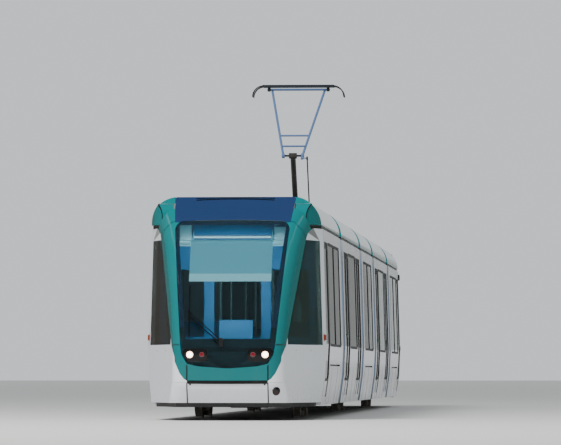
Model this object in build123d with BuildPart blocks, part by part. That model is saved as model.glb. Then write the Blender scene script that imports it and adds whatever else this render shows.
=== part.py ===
from build123d import *
from math import cos, radians, sin
import os

# A five-section low-floor tram. Three short modules stand on bogies, the two long ones hang between
# them, and four bellows join the bodies. Millimetres: X forward, Y to the left, Z up from the tips
# of the wheel flanges, which hang FLANGE below the rail head that the tram's own heights count from.

os.makedirs("parts", exist_ok=True)

# Overall sizes
HALF_LENGTH = 16250
BODY_WIDTH = 2650
FLANGE = 25
SEAT_GAP = 0.3
WALL = 70
GLASS = 12
GLASS_SETBACK = 6

# Heights, each counted from the rail head
SKIRT_Z = FLANGE + 190
UNDERFRAME_Z = FLANGE + 210
FLOOR_Z = FLANGE + 350
SLOT_Z = FLANGE + 784
SILL_Z = FLANGE + 1080
WIDEST_Z = FLANGE + 1100
CEILING_Z = FLANGE + 2660
LINTEL_Z = FLANGE + 2620
CANT_Z = FLANGE + 2800
GUTTER_Z = FLANGE + 2850
ROOF_Z = FLANGE + 3270

# Half widths of the side, which leans in above and below its widest height
SKIRT_Y = 1240
BEND_Y = 1304
BEND_Z = FLANGE + 645
CANT_Y = 1275
SHOULDER_Y = 1160
SHOULDER_Z = FLANGE + 3125
ROOF_Y = 900

# Modules along the tram
INNER_JOINT_X = 2450
OUTER_JOINT_X = 9000
GANGWAY_HALF = 300
PILLAR_X = 14300
CENTRE_END_X = INNER_JOINT_X - GANGWAY_HALF
MID_REAR_X = INNER_JOINT_X + GANGWAY_HALF
MID_FRONT_X = OUTER_JOINT_X - GANGWAY_HALF
CAB_REAR_X = OUTER_JOINT_X + GANGWAY_HALF

# Windows and doors
SINGLE_DOOR_X = 13660
SINGLE_DOOR_WIDTH = 900
DOUBLE_DOOR_WIDTH = 1360
MID_DOORS_X = (3760, 7690)
MID_MIDDLE_X = (MID_REAR_X + MID_FRONT_X) / 2
DOOR_SILL_Z = FLOOR_Z - 40
DOOR_GAP = 6
DOOR_FRAME = 62
DOOR_GLASS_Z = FLANGE + 560
DOOR_STEP = 14

# Running gear
BOGIE_X = 11200
WHEELBASE = 1600
WHEEL_R = 295
WHEEL_WIDTH = 115
BACK_TO_BACK = 1380
AXLE_R = 60
AXLE_Z = FLANGE + WHEEL_R
AXLE_HALF = 990
AXLE_CLEARANCE = 0.05
BEAM_Y = 940
BEAM_WIDTH = 120

# Floor over a bogie
WELL_HALF = 1230
WELL_PLATE = 25
WHEEL_BOX_Z = FLANGE + 685
AISLE_Z = FLANGE + 455
WHEEL_BOX_Y = 560

# Gangway
GANGWAY_Y = 650
GANGWAY_Z = FLANGE + 2330
PORTAL = 40
TURNTABLE_R = 520
TURNTABLE_GAP = 8
PIVOT_R = 45
PIVOT_BOSS_R = 110

# Nose
CAP_REAR_X = 14690
CAP_BULGE_X = 14900
CAP_TOP_Z = FLANGE + 3170
CAP_MIDDLE_X = 14500
VALANCE_Z = FLANGE + 130
BUMPER_Z = FLANGE + 233
SEAM = 0.8


# The side's outline; columns: height, half width
SIDE_OUTLINE = [
    (SKIRT_Z, SKIRT_Y),
    (BEND_Z, BEND_Y),
    (WIDEST_Z, BODY_WIDTH / 2),
    (CANT_Z, CANT_Y),
]


def side_y(height):
    """Half width of the side at a height."""
    for (low_z, low_y), (high_z, high_y) in zip(SIDE_OUTLINE, SIDE_OUTLINE[1:]):
        if height <= high_z:
            break
    return low_y + (high_y - low_y) * (height - low_z) / (high_z - low_z)


def side_line(start_z, end_z, inset):
    """The side's outline between two heights, moved inwards by inset."""
    low_z, high_z = min(start_z, end_z), max(start_z, end_z)
    heights = [low_z, *[z for z, _ in SIDE_OUTLINE if low_z < z < high_z], high_z]
    if end_z < start_z:
        heights.reverse()
    Polyline(*[(side_y(height) - inset, height) for height in heights])


def side_band(start_x, low_z, high_z, inset, thickness):
    """Cross-section of a left-hand wall, door or pane that follows the side."""
    with BuildSketch(Plane.YZ.offset(start_x)) as band:
        with BuildLine():
            side_line(low_z, high_z, inset)
            Line(
                (side_y(high_z) - inset, high_z),
                (side_y(high_z) - inset - thickness, high_z),
            )
            side_line(high_z, low_z, inset + thickness)
            Line(
                (side_y(low_z) - inset - thickness, low_z),
                (side_y(low_z) - inset, low_z),
            )
        make_face()
    return band.sketch


def side_hole(centre_x, width, low_z, high_z):
    """Outline of a window or door in the side view."""
    with BuildSketch(Plane.XZ) as hole:
        with Locations((centre_x, (low_z + high_z) / 2)):
            Rectangle(width, high_z - low_z)
    return hole.sketch


def through_left_side(outline):
    """The outline as a cutter that runs out through the left-hand side."""
    with BuildPart() as cutter:
        extrude(outline, amount=-BODY_WIDTH)
    return cutter.part


def write(part, name):
    part.label = name
    export_step(part, f"parts/{name}.step")


def write_both_ends(part, name):
    """A piece of the front half, and the same piece turned round for the rear half."""
    write(part, f"{name}_front")
    write(part.rotate(Axis.Z, 180), f"{name}_rear")


# Body shells: two side walls, a roof deck and the portal round each gangway

# columns: centre x, width, low z, high z
CENTRE_WINDOWS = [
    (-815, 1570, SILL_Z, LINTEL_Z),
    (815, 1570, SILL_Z, LINTEL_Z),
]
CAB_WINDOWS = [
    (10700, 1560, SILL_Z, LINTEL_Z),
    (12320, 1560, SILL_Z, LINTEL_Z),
]
MID_WINDOWS = [(MID_MIDDLE_X, 2350, SILL_Z, LINTEL_Z)]

# columns: centre x, width of the opening, leaves
MID_DOORS = [(door_x, DOUBLE_DOOR_WIDTH, 2) for door_x in MID_DOORS_X]
CAB_DOORS = [(SINGLE_DOOR_X, SINGLE_DOOR_WIDTH, 1)]


def portal_post(start_x):
    """Plate between the side wall and the gangway, on the left."""
    inner = WALL + SEAT_GAP
    low, high = FLOOR_Z + SEAT_GAP, CEILING_Z - SEAT_GAP
    with BuildSketch(Plane.YZ.offset(start_x)) as plate:
        with BuildLine():
            side_line(low, high, inner)
            Polyline(
                (side_y(high) - inner, high),
                (GANGWAY_Y, high),
                (GANGWAY_Y, low),
                (side_y(low) - inner, low),
            )
        make_face()
    return extrude(plate.sketch, amount=PORTAL)


def roof_unit(centre_x, length, width, height):
    """Equipment case on the roof deck, with a chamfered lid."""
    with BuildPart() as case:
        with BuildSketch(Plane.XY.offset(CANT_Z - 20)):
            with Locations((centre_x, 0)):
                Rectangle(length, width)
        extrude(amount=height)
        chamfer(case.faces().sort_by(Axis.Z)[-1].edges(), length=45)
    return case.part


def shell(rear_x, front_x, windows, doors, portals, slots, units):
    """Walls, roof deck and gangway portals of one module."""
    deck_low, deck_high = CEILING_Z, CANT_Z - 20
    deck_y = side_y(deck_high) - WALL - SEAT_GAP
    with BuildPart() as body:
        wall = side_band(rear_x, SKIRT_Z, CANT_Z, 0, WALL)
        extrude(wall, amount=front_x - rear_x)
        gutter = side_band(rear_x, CANT_Z, GUTTER_Z, 22, WALL - 22)
        extrude(gutter, amount=front_x - rear_x)
        for centre_x, width, low_z, high_z in windows:
            hole = side_hole(centre_x, width, low_z, high_z)
            add(through_left_side(hole), mode=Mode.SUBTRACT)
        for centre_x, width, _ in doors:
            hole = side_hole(centre_x, width, DOOR_SILL_Z, LINTEL_Z)
            add(through_left_side(hole), mode=Mode.SUBTRACT)
        for centre_x, length in slots:
            groove = side_band(centre_x - length / 2, SLOT_Z - 13, SLOT_Z + 13, -5, 35)
            extrude(groove, amount=length, mode=Mode.SUBTRACT)
        for portal_x in portals:
            add(portal_post(portal_x))
        mirror(about=Plane.XZ)
        for portal_x in portals:
            header_z = (GANGWAY_Z + CEILING_Z) / 2
            with Locations((portal_x + PORTAL / 2, 0, header_z)):
                Box(
                    PORTAL,
                    2 * (GANGWAY_Y - SEAT_GAP),
                    CEILING_Z - GANGWAY_Z - 2 * SEAT_GAP,
                )
        with Locations(((rear_x + front_x) / 2, 0, (deck_low + deck_high) / 2)):
            Box(front_x - rear_x, 2 * deck_y, deck_high - deck_low)
        for centre_x, length, width, height in units:
            add(roof_unit(centre_x, length, width, height))
    return body.part


# Roof units: columns are centre x, length, width, height over the deck
CENTRE_UNITS = [(-1250, 1300, 1300, 330), (1560, 900, 1300, 330)]
MID_UNITS = [(4450, 2300, 1350, 400), (7150, 2200, 1350, 330)]
CAB_UNITS = [(10500, 1900, 1350, 400), (12800, 1900, 1350, 360)]

centre_shell = shell(
    -CENTRE_END_X,
    CENTRE_END_X,
    CENTRE_WINDOWS,
    [],
    (-CENTRE_END_X, CENTRE_END_X - PORTAL),
    [(0, 2900)],
    CENTRE_UNITS,
)
mid_shell = shell(
    MID_REAR_X,
    MID_FRONT_X,
    MID_WINDOWS,
    MID_DOORS,
    (MID_REAR_X, MID_FRONT_X - PORTAL),
    [],
    MID_UNITS,
)
cab_shell = shell(
    CAB_REAR_X,
    PILLAR_X,
    CAB_WINDOWS,
    CAB_DOORS,
    (CAB_REAR_X,),
    [(11560, 2900)],
    CAB_UNITS,
)
write(centre_shell, "shell_centre")
write_both_ends(mid_shell, "shell_mid")


# Nose: the side view run across the tram, cut off on both sides by a flank that tapers inwards, with
# a rounded corner between them, and trimmed to the body's own cross-section

# Side view of the front; columns: distance behind the tram's end, height, radius of the bend
NOSE_PROFILE = [
    (190, FLANGE + 100, 0),
    (0, FLANGE + 475, 300),
    (0, FLANGE + 1035, 600),
    (370, FLANGE + 1900, 1500),
    (830, FLANGE + 2620, 900),
    (1090, FLANGE + 2900, 500),
    (1780, FLANGE + 3335, 0),
]
NOSE_BACK_X = PILLAR_X - 400
NOSE_CORNER_R = 260
FLANK_TAPER = 0.295
FLANK_LEAN = (BODY_WIDTH / 2 - CANT_Y) / (CANT_Z - WIDEST_Z)


def flank_plane(side, inset):
    """Plane of one flank of the nose, which starts at the pillar; side is 1 for the left."""
    outwards = Vector(FLANK_TAPER, side, FLANK_LEAN).normalized()
    start = Vector(PILLAR_X, side * BODY_WIDTH / 2, WIDEST_Z)
    return Plane(origin=start - outwards * inset, z_dir=outwards)


def nose_wedge(inset, corner_r):
    """Side view between the two flanks, with the corners rounded."""
    top_z = NOSE_PROFILE[-1][1]
    with BuildPart() as wedge:
        with BuildSketch(Plane.XZ):
            with BuildLine():
                FilletPolyline(
                    *[(HALF_LENGTH - back, height) for back, height, _ in NOSE_PROFILE],
                    (NOSE_BACK_X, top_z),
                    (NOSE_BACK_X, NOSE_PROFILE[0][1]),
                    radius=[bend for _, _, bend in NOSE_PROFILE] + [0, 0],
                    close=True,
                )
            make_face()
            if inset:
                offset(amount=-inset, kind=Kind.INTERSECTION, mode=Mode.REPLACE)
        extrude(amount=BODY_WIDTH, both=True)
        for side in (-1, 1):
            split(bisect_by=flank_plane(side, inset), keep=Keep.BOTTOM)
        if corner_r:
            corners = []
            for edge in wedge.edges().filter_by_position(Axis.X, PILLAR_X, HALF_LENGTH):
                for side in (-1, 1):
                    flank = flank_plane(side, inset)
                    off_flank = abs(flank.to_local_coords(edge.center()).Z)
                    if off_flank < 1 and abs(edge.tangent_at(0.5).Z) > 0.2:
                        corners.append(edge)
            fillet(corners, radius=corner_r)
    return wedge.part


def nose_envelope(inset):
    """The body's cross-section, run forward over the nose."""
    shoulder = (SHOULDER_Y - 0.6 * inset, SHOULDER_Z - 0.6 * inset)
    roof_edge = (ROOF_Y - 0.3 * inset, ROOF_Z - inset)
    with BuildPart() as envelope:
        with BuildSketch(Plane.YZ.offset(NOSE_BACK_X + 2 * inset)):
            with BuildLine():
                Polyline(
                    (0, VALANCE_Z),
                    (side_y(SKIRT_Z) - inset, VALANCE_Z),
                    (side_y(SKIRT_Z) - inset, SKIRT_Z),
                )
                side_line(SKIRT_Z, CANT_Z, inset)
                if inset < WALL:
                    ThreePointArc((CANT_Y - inset, CANT_Z), shoulder, roof_edge)
                else:
                    Polyline((CANT_Y - inset, CANT_Z), shoulder, roof_edge)
                Polyline(roof_edge, (0, ROOF_Z - inset), (0, VALANCE_Z))
            make_face()
        extrude(amount=HALF_LENGTH)
        mirror(about=Plane.XZ)
    return envelope.part


def nose_solid(inset, corner_r):
    with BuildPart() as nose:
        add(nose_wedge(inset, corner_r))
        add(nose_envelope(inset), mode=Mode.INTERSECT)
    return nose.part


nose_outer = nose_solid(0, NOSE_CORNER_R)
nose_inner = nose_solid(WALL, 0)
nose_fit = nose_solid(WALL + SEAT_GAP, 0)
nose_glass_inner = nose_solid(GLASS, NOSE_CORNER_R - GLASS)


def skin_x(y, height, body=nose_outer):
    """How far forward the nose's surface lies at a place in the front view."""
    ray = Axis((HALF_LENGTH + 500, y, height), (-1, 0, 0))
    return max(point.X for point, _ in body.find_intersection_points(ray))


def flank_y(x, height, body=nose_outer):
    """How far to the left the nose's surface lies at a place in the side view."""
    ray = Axis((x, BODY_WIDTH, height), (0, -1, 0))
    return max(point.Y for point, _ in body.find_intersection_points(ray))


def front_outline(half, shift=0):
    """Closed outline in the front view from its left half: y, height, corner radius."""
    points = [(y, height) for y, height, _ in half]
    radii = [radius for _, _, radius in half]
    points += [(-y, height) for y, height, _ in reversed(half) if y]
    radii += [radius for y, _, radius in reversed(half) if y]
    with BuildSketch(Plane.YZ.offset(NOSE_BACK_X)) as outline:
        with BuildLine():
            FilletPolyline(*points, radius=radii, close=True)
        make_face()
        if shift:
            offset(amount=shift, kind=Kind.INTERSECTION, mode=Mode.REPLACE)
    return outline.sketch


def front_cutter(half, shift=0):
    return extrude(front_outline(half, shift), amount=HALF_LENGTH - NOSE_BACK_X + 300)


# Front view, left half; columns: y, height, corner radius
SCREEN_OUTLINE = [
    (0, 754, 900),
    (425, 786, 60),
    (585, 822, 60),
    (664, 955, 60),
    (686, 1083, 0),
    (850, 2916, 130),
    (0, 2948, 15000),
]
MASK_OUTLINE = [
    (0, 566, 2500),
    (585, 576, 25),
    (632, 606, 40),
    (692, 682, 60),
    (772, 855, 60),
    (778, 930, 60),
    (832, 1083, 60),
    (1066, 2650, 0),
    (1010, 2812, 200),
    (849, 2914, 0),
    (700, 2800, 0),
    (0, 2800, 0),
]
CAP_OUTLINE = [
    (0, 2800, 0),
    (700, 2800, 0),
    (849, 2914, 0),
    (1010, 2812, 200),
    (1066, 2650, 0),
    (1084, 2740, 60),
    (1150, CANT_Z + 3, 40),
    (1500, CANT_Z + 3, 0),
    (1500, 3500, 0),
    (0, 3500, 0),
]
MASK_JOINT_Z = SILL_Z - 8
FLAP_HALF = 585
FLAP_TOP_Z = 552
CAB_PILLAR = 150
HOLE_Y, HOLE_Z, HOLE_R, HOLE_DEPTH, HOLE_TURN = 707, 425, 62, 25, 25

# Headlamp lenses; columns: y, height, radius
HEADLIGHTS = [(546, 955, 48)]
BEZEL_OUTLINE = [
    (290, 852, 45),
    (572, 852, 60),
    (638, 945, 60),
    (664, 1042, 45),
    (290, 1042, 60),
]

screen_cutter = front_cutter(SCREEN_OUTLINE)
screen_gap_cutter = front_cutter(SCREEN_OUTLINE, SEAM)
mask_cutter = front_cutter(MASK_OUTLINE)
mask_gap_cutter = front_cutter(MASK_OUTLINE, SEAM)
cap_cutter = front_cutter(CAP_OUTLINE)
cap_gap_cutter = front_cutter(CAP_OUTLINE, SEAM)

with BuildPart() as nose_shell:
    add(nose_outer)
    add(nose_inner, mode=Mode.SUBTRACT)
    split(bisect_by=Plane.YZ.offset(PILLAR_X + SEAT_GAP), keep=Keep.TOP)



def bezel_cutter_of(shift):
    """Both lamp housings' outlines, run forward."""
    with BuildSketch(Plane.YZ.offset(PILLAR_X + 1000)) as outline:
        with BuildLine():
            FilletPolyline(
                *[(y, height) for y, height, _ in BEZEL_OUTLINE],
                radius=[radius for _, _, radius in BEZEL_OUTLINE],
                close=True,
            )
        make_face()
        if shift:
            offset(amount=shift, mode=Mode.REPLACE)
        mirror(about=Plane.YZ)
    return extrude(outline.sketch, amount=3000)


def lens_cutter_of(shift):
    """All headlamp lenses' outlines, run forward."""
    with BuildSketch(Plane.YZ.offset(PILLAR_X + 1000)) as outline:
        for y, height, lens_r in HEADLIGHTS:
            with Locations((y, height), (-y, height)):
                Circle(lens_r + shift)
    return extrude(outline.sketch, amount=3000)


bezel_cutter = bezel_cutter_of(0)
bezel_fit_cutter = bezel_cutter_of(-SEAT_GAP)
lens_cutter = lens_cutter_of(0)
lens_fit_cutter = lens_cutter_of(-SEAT_GAP)

with BuildPart() as windscreen:
    add(nose_outer)
    add(nose_glass_inner, mode=Mode.SUBTRACT)
    add(screen_cutter, mode=Mode.INTERSECT)
    add(bezel_cutter, mode=Mode.SUBTRACT)
    split(bisect_by=Plane.YZ.offset(PILLAR_X), keep=Keep.TOP)
write_both_ends(windscreen.part, "windscreen")


def behind_cap_edge(shift, reach):
    """Everything behind the curved joint of cap and fairings, between two y values."""
    with BuildPart() as behind:
        with BuildSketch(Plane.XZ.offset(-reach[1])):
            with BuildLine():
                ThreePointArc(
                    (CAP_REAR_X, CANT_Z - 30),
                    (CAP_BULGE_X, (CANT_Z + CAP_TOP_Z) / 2),
                    (CAP_REAR_X, CAP_TOP_Z),
                )
                Polyline(
                    (CAP_REAR_X, CAP_TOP_Z),
                    (CAP_REAR_X - 160, ROOF_Z + 40),
                    (NOSE_BACK_X, ROOF_Z + 40),
                    (NOSE_BACK_X, CANT_Z - 30),
                    (CAP_REAR_X, CANT_Z - 30),
                )
            make_face()
            if shift:
                offset(amount=shift, kind=Kind.INTERSECTION, mode=Mode.REPLACE)
        extrude(amount=reach[1] - reach[0])
    return behind.part


# The mask runs round the windscreen and the cap closes the roof above it.
with BuildPart() as mask_frame:
    add(nose_shell.part)
    add(mask_cutter, mode=Mode.INTERSECT)
    add(screen_gap_cutter, mode=Mode.SUBTRACT)
    with Locations((HALF_LENGTH - 1000, 0, MASK_JOINT_Z)):
        Box(3000, BODY_WIDTH, SEAM, mode=Mode.SUBTRACT)
    with Locations((HALF_LENGTH, FLAP_HALF, 600), (HALF_LENGTH, -FLAP_HALF, 600)):
        Box(1500, SEAM, 480, mode=Mode.SUBTRACT)
with BuildPart() as cap:
    add(nose_shell.part)
    add(cap_cutter, mode=Mode.INTERSECT)
    add(mask_gap_cutter, mode=Mode.SUBTRACT)
    add(screen_gap_cutter, mode=Mode.SUBTRACT)
    add(behind_cap_edge(SEAM, (-BODY_WIDTH, -ROOF_Y + 20)), mode=Mode.SUBTRACT)
    add(behind_cap_edge(SEAM, (ROOF_Y - 20, BODY_WIDTH)), mode=Mode.SUBTRACT)
    split(bisect_by=Plane.YZ.offset(CAP_MIDDLE_X), keep=Keep.TOP)
mask = Compound([mask_frame.part, cap.part])
write_both_ends(mask, "mask")

# Lower nose: a left and a right moulding, and the flap over the coupler between them
with BuildPart() as bumper:
    add(nose_shell.part)
    add(mask_gap_cutter, mode=Mode.SUBTRACT)
    split(bisect_by=Plane.XY.offset(BUMPER_Z), keep=Keep.TOP)
    split(bisect_by=Plane.XY.offset(SILL_Z - 3), keep=Keep.BOTTOM)
    split(bisect_by=Plane.YZ.offset(PILLAR_X + SEAT_GAP), keep=Keep.TOP)
    with BuildSketch(Plane.YZ.offset(PILLAR_X + SEAT_GAP)):
        with Locations((0, FLAP_TOP_Z - 500)):
            Rectangle(2 * (FLAP_HALF + SEAM), 1400)
    extrude(amount=3000, mode=Mode.SUBTRACT)
    hole_axis = Vector(cos(radians(HOLE_TURN)), sin(radians(HOLE_TURN)), 0)
    hole_mouth = Vector(skin_x(HOLE_Y, HOLE_Z), HOLE_Y, HOLE_Z)
    with BuildSketch(Plane(origin=hole_mouth - hole_axis * HOLE_DEPTH, z_dir=hole_axis)):
        Circle(HOLE_R)
    extrude(amount=200, mode=Mode.SUBTRACT)
with BuildPart() as flap:
    with BuildSketch(Plane.YZ.offset(15000)):
        with Locations((0, (BUMPER_Z + FLAP_TOP_Z) / 2)):
            RectangleRounded(2 * FLAP_HALF, FLAP_TOP_Z - BUMPER_Z, 20)
    extrude(amount=3000)
    add(nose_shell.part, mode=Mode.INTERSECT)
write_both_ends(Compound([bumper.part, flap.part]), "bumper")

# Cab frame: the pillar beside the front door, and the eave that runs forward from it to the mask
GROOVE_DEPTH = 22
CAB_DECK_LENGTH = 620
SIDE_GLASS_REAR_X = PILLAR_X + CAB_PILLAR


def cab_window(shift):
    """Side window between the pillar and the mask, open at its front."""
    with BuildSketch(Plane.XZ) as window:
        with BuildLine():
            FilletPolyline(
                (SIDE_GLASS_REAR_X - shift, SILL_Z - 200),
                (SIDE_GLASS_REAR_X - shift, LINTEL_Z + shift),
                (PILLAR_X + 1600, LINTEL_Z + shift),
                (PILLAR_X + 1600, SILL_Z - 200),
                radius=[70, 0, 0, 0],
                close=True,
            )
        make_face()
    with BuildPart() as cutter:
        extrude(window.sketch, amount=BODY_WIDTH, both=True)
    return cutter.part


with BuildPart() as cab_frame:
    add(nose_shell.part)
    add(mask_gap_cutter, mode=Mode.SUBTRACT)
    add(cap_gap_cutter, mode=Mode.SUBTRACT)
    split(bisect_by=Plane.XY.offset(SILL_Z - 2), keep=Keep.TOP)
    split(bisect_by=Plane.XY.offset(CANT_Z), keep=Keep.BOTTOM)
    add(cab_window(0), mode=Mode.SUBTRACT)
with BuildPart() as cab_side_glass:
    add(nose_outer)
    add(nose_glass_inner, mode=Mode.SUBTRACT)
    add(cab_window(-SEAT_GAP), mode=Mode.INTERSECT)
    add(mask_gap_cutter, mode=Mode.SUBTRACT)
    split(bisect_by=Plane.XY.offset(SILL_Z - 2), keep=Keep.TOP)
with BuildPart() as cab_gutter:
    with BuildSketch(Plane.XY.offset(CANT_Z + SEAT_GAP)):
        with BuildLine():
            Polyline(
                (PILLAR_X + SEAT_GAP, CANT_Y - GROOVE_DEPTH),
                (CAP_REAR_X - SEAM, 1124 - GROOVE_DEPTH),
                (CAP_REAR_X - SEAM, 900),
                (PILLAR_X + SEAT_GAP, 900),
                (PILLAR_X + SEAT_GAP, CANT_Y - GROOVE_DEPTH),
            )
        make_face()
    extrude(amount=GUTTER_Z - CANT_Z - SEAT_GAP)
    mirror(about=Plane.XZ)
with BuildPart() as cab_deck:
    with Locations((PILLAR_X + SEAT_GAP, 0, (CEILING_Z + CANT_Z - 20) / 2)):
        Box(
            CAB_DECK_LENGTH,
            2400,
            CANT_Z - 20 - CEILING_Z,
            align=(Align.MIN, Align.CENTER, Align.CENTER),
        )
    add(nose_fit, mode=Mode.INTERSECT)
write_both_ends(
    Compound([cab_shell, cab_frame.part, cab_gutter.part, cab_deck.part]), "shell"
)


# Window panes, seated in the walls
def side_pane(centre_x, width, low_z, high_z):
    pane = side_band(
        centre_x - width / 2 + SEAT_GAP, low_z + SEAT_GAP, high_z - SEAT_GAP, GLASS_SETBACK, GLASS
    )
    return extrude(pane, amount=width - 2 * SEAT_GAP)


def panes(windows):
    left = [side_pane(*window) for window in windows]
    return Compound(left + [pane.mirror(Plane.XZ) for pane in left])


write(panes(CENTRE_WINDOWS), "glass_centre")
write_both_ends(panes(MID_WINDOWS), "glass_mid")
write_both_ends(Compound([panes(CAB_WINDOWS), cab_side_glass.part]), "glass")


# Door leaves: a frame that follows the side, with one tall pane
def door_leaf(centre_x, width):
    low, high = DOOR_SILL_Z + SEAM, LINTEL_Z - SEAM
    glass_top = high - DOOR_FRAME
    with BuildPart() as leaf:
        extrude(side_band(centre_x - width / 2, low, high, 8, WALL - DOOR_STEP), amount=width)
        hole = side_hole(centre_x, width - 2 * DOOR_FRAME, DOOR_GLASS_Z, glass_top)
        add(through_left_side(hole), mode=Mode.SUBTRACT)
    pane = side_band(
        centre_x - width / 2 + DOOR_FRAME + SEAT_GAP,
        DOOR_GLASS_Z + SEAT_GAP,
        glass_top - SEAT_GAP,
        12,
        GLASS,
    )
    return [leaf.part, extrude(pane, amount=width - 2 * DOOR_FRAME - 2 * SEAT_GAP)]


def door_leaves(doors):
    pieces = []
    for centre_x, width, leaves in doors:
        leaf_width = (width - (leaves + 1) * SEAM) / leaves
        for leaf in range(leaves):
            leaf_x = centre_x + (leaf - (leaves - 1) / 2) * (leaf_width + SEAM)
            pieces += door_leaf(leaf_x, leaf_width)
    return Compound(pieces + [piece.mirror(Plane.XZ) for piece in pieces])


write_both_ends(door_leaves(MID_DOORS), "doors_mid")
write_both_ends(door_leaves(CAB_DOORS), "doors")


# Roof fairings on both sides of the roof
COVER_THICKNESS = 40
COVER_BLOCK_X = 14440


def cover_outline(start_x, solid):
    bottom = GUTTER_Z + SEAT_GAP
    with BuildSketch(Plane.YZ.offset(start_x)) as outline:
        with BuildLine():
            ThreePointArc((CANT_Y - 13, bottom), (SHOULDER_Y, SHOULDER_Z), (ROOF_Y, ROOF_Z))
            if solid:
                Polyline((ROOF_Y, ROOF_Z), (ROOF_Y, bottom), (CANT_Y - 13, bottom))
            else:
                Polyline(
                    (ROOF_Y, ROOF_Z),
                    (ROOF_Y, ROOF_Z - COVER_THICKNESS),
                    (SHOULDER_Y - 27, SHOULDER_Z - 27),
                    (CANT_Y - 13 - COVER_THICKNESS, bottom),
                    (CANT_Y - 13, bottom),
                )
        make_face()
    return outline.sketch


def cover_end_block(start_x):
    """Closed, rounded end of the left-hand fairings, up against the cap."""
    with BuildPart() as end_block:
        extrude(cover_outline(start_x, True), amount=CAP_BULGE_X - start_x)
        add(behind_cap_edge(0, (0, BODY_WIDTH)), mode=Mode.INTERSECT)
        with BuildSketch(Plane.XY.offset(GUTTER_Z)):
            with BuildLine():
                ThreePointArc(
                    (start_x - 1, CANT_Y - 10),
                    (CAP_REAR_X, CANT_Y - 85),
                    (CAP_BULGE_X + 40, CANT_Y - 250),
                )
                Polyline(
                    (CAP_BULGE_X + 40, CANT_Y - 250),
                    (CAP_BULGE_X + 40, CANT_Y + 40),
                    (start_x - 1, CANT_Y + 40),
                    (start_x - 1, CANT_Y - 10),
                )
            make_face()
        extrude(amount=1000, mode=Mode.SUBTRACT)
    return end_block.part


def roof_covers(rear_x, front_x, panels, cab_end):
    """Fairings in panels of equal length; at a cab the closed end block is set before them."""
    pitch = (front_x - rear_x) / panels
    left = []
    for panel in range(panels):
        outline = cover_outline(rear_x + panel * pitch, False)
        left.append(extrude(outline, amount=pitch - SEAM))
    if cab_end:
        left.append(cover_end_block(front_x))
    return Compound(left + [piece.mirror(Plane.XZ) for piece in left])


write(roof_covers(-CENTRE_END_X, CENTRE_END_X, 3, False), "covers_centre")
write_both_ends(roof_covers(MID_REAR_X, MID_FRONT_X, 4, False), "covers_mid")
write_both_ends(roof_covers(CAB_REAR_X, COVER_BLOCK_X, 4, True), "covers")


# Floors
def floor_profile(start_x, low, high):
    edge = WALL + SEAT_GAP
    with BuildSketch(Plane.YZ.offset(start_x)) as profile:
        with BuildLine():
            side_line(low, high, edge)
            Polyline(
                (side_y(high) - edge, high), (0, high), (0, low), (side_y(low) - edge, low)
            )
        make_face()
        mirror(about=Plane.YZ)
    return profile.sketch


def floor_slab(rear_x, front_x):
    with BuildPart() as slab:
        extrude(floor_profile(rear_x, UNDERFRAME_Z, FLOOR_Z), amount=front_x - rear_x)
    return slab.part


def aisle_over_bogie(centre_x):
    """Raised aisle with a ramp at each end, on end plates that stand beside the floor slabs."""
    ramp_x = WELL_HALF - SEAT_GAP
    with BuildPart() as aisle:
        with BuildSketch(Plane.XZ.offset(-WHEEL_BOX_Y + SEAT_GAP)):
            with BuildLine():
                Polyline(
                    (centre_x - WELL_HALF - 600, FLOOR_Z + SEAT_GAP),
                    (centre_x - WELL_HALF, AISLE_Z + WELL_PLATE),
                    (centre_x + WELL_HALF, AISLE_Z + WELL_PLATE),
                    (centre_x + WELL_HALF + 600, FLOOR_Z + SEAT_GAP),
                    (centre_x + ramp_x, FLOOR_Z + SEAT_GAP),
                    (centre_x + ramp_x, UNDERFRAME_Z),
                    (centre_x + ramp_x - WELL_PLATE, UNDERFRAME_Z),
                    (centre_x + ramp_x - WELL_PLATE, AISLE_Z),
                    (centre_x - ramp_x + WELL_PLATE, AISLE_Z),
                    (centre_x - ramp_x + WELL_PLATE, UNDERFRAME_Z),
                    (centre_x - ramp_x, UNDERFRAME_Z),
                    (centre_x - ramp_x, FLOOR_Z + SEAT_GAP),
                    (centre_x - WELL_HALF - 600, FLOOR_Z + SEAT_GAP),
                )
            make_face()
        extrude(amount=2 * (WHEEL_BOX_Y - SEAT_GAP))
    return aisle.part


def wheel_box(centre_x):
    """Box over the left-hand wheels of a bogie, open at its bottom and towards the body's wall."""
    box_length = 2 * (WELL_HALF - SEAT_GAP)
    box_width = side_y(UNDERFRAME_Z) - WALL - SEAT_GAP - WHEEL_BOX_Y
    low_corner = (Align.CENTER, Align.MIN, Align.MIN)
    with BuildPart() as box:
        with Locations((centre_x, WHEEL_BOX_Y, UNDERFRAME_Z)):
            Box(
                box_length,
                box_width,
                WHEEL_BOX_Z + WELL_PLATE - UNDERFRAME_Z,
                align=low_corner,
            )
        with Locations((centre_x, WHEEL_BOX_Y + WELL_PLATE, UNDERFRAME_Z)):
            Box(
                box_length - 2 * WELL_PLATE,
                box_width,
                WHEEL_BOX_Z - UNDERFRAME_Z,
                align=low_corner,
                mode=Mode.SUBTRACT,
            )
        with Locations((centre_x, WHEEL_BOX_Y, UNDERFRAME_Z)):
            Box(
                box_length - 2 * WELL_PLATE,
                box_width,
                AISLE_Z - UNDERFRAME_Z,
                align=low_corner,
                mode=Mode.SUBTRACT,
            )
    return box.part


def bogie_floor(centre_x):
    """Floor over a bogie: the aisle, and a box over the wheels on each side."""
    box = wheel_box(centre_x)
    return [aisle_over_bogie(centre_x), box, box.mirror(Plane.XZ)]


# Hinges under the gangways: a tongue with a bore turns between the fork plates on the pin
TONGUE_LOW_Z, TONGUE_HIGH_Z = FLANGE + 235, FLANGE + 305
FORK_LOW_Z, FORK_HIGH_Z = FLANGE + 190, FLANGE + 230
DISC_Z = FLANGE + 315


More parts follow.
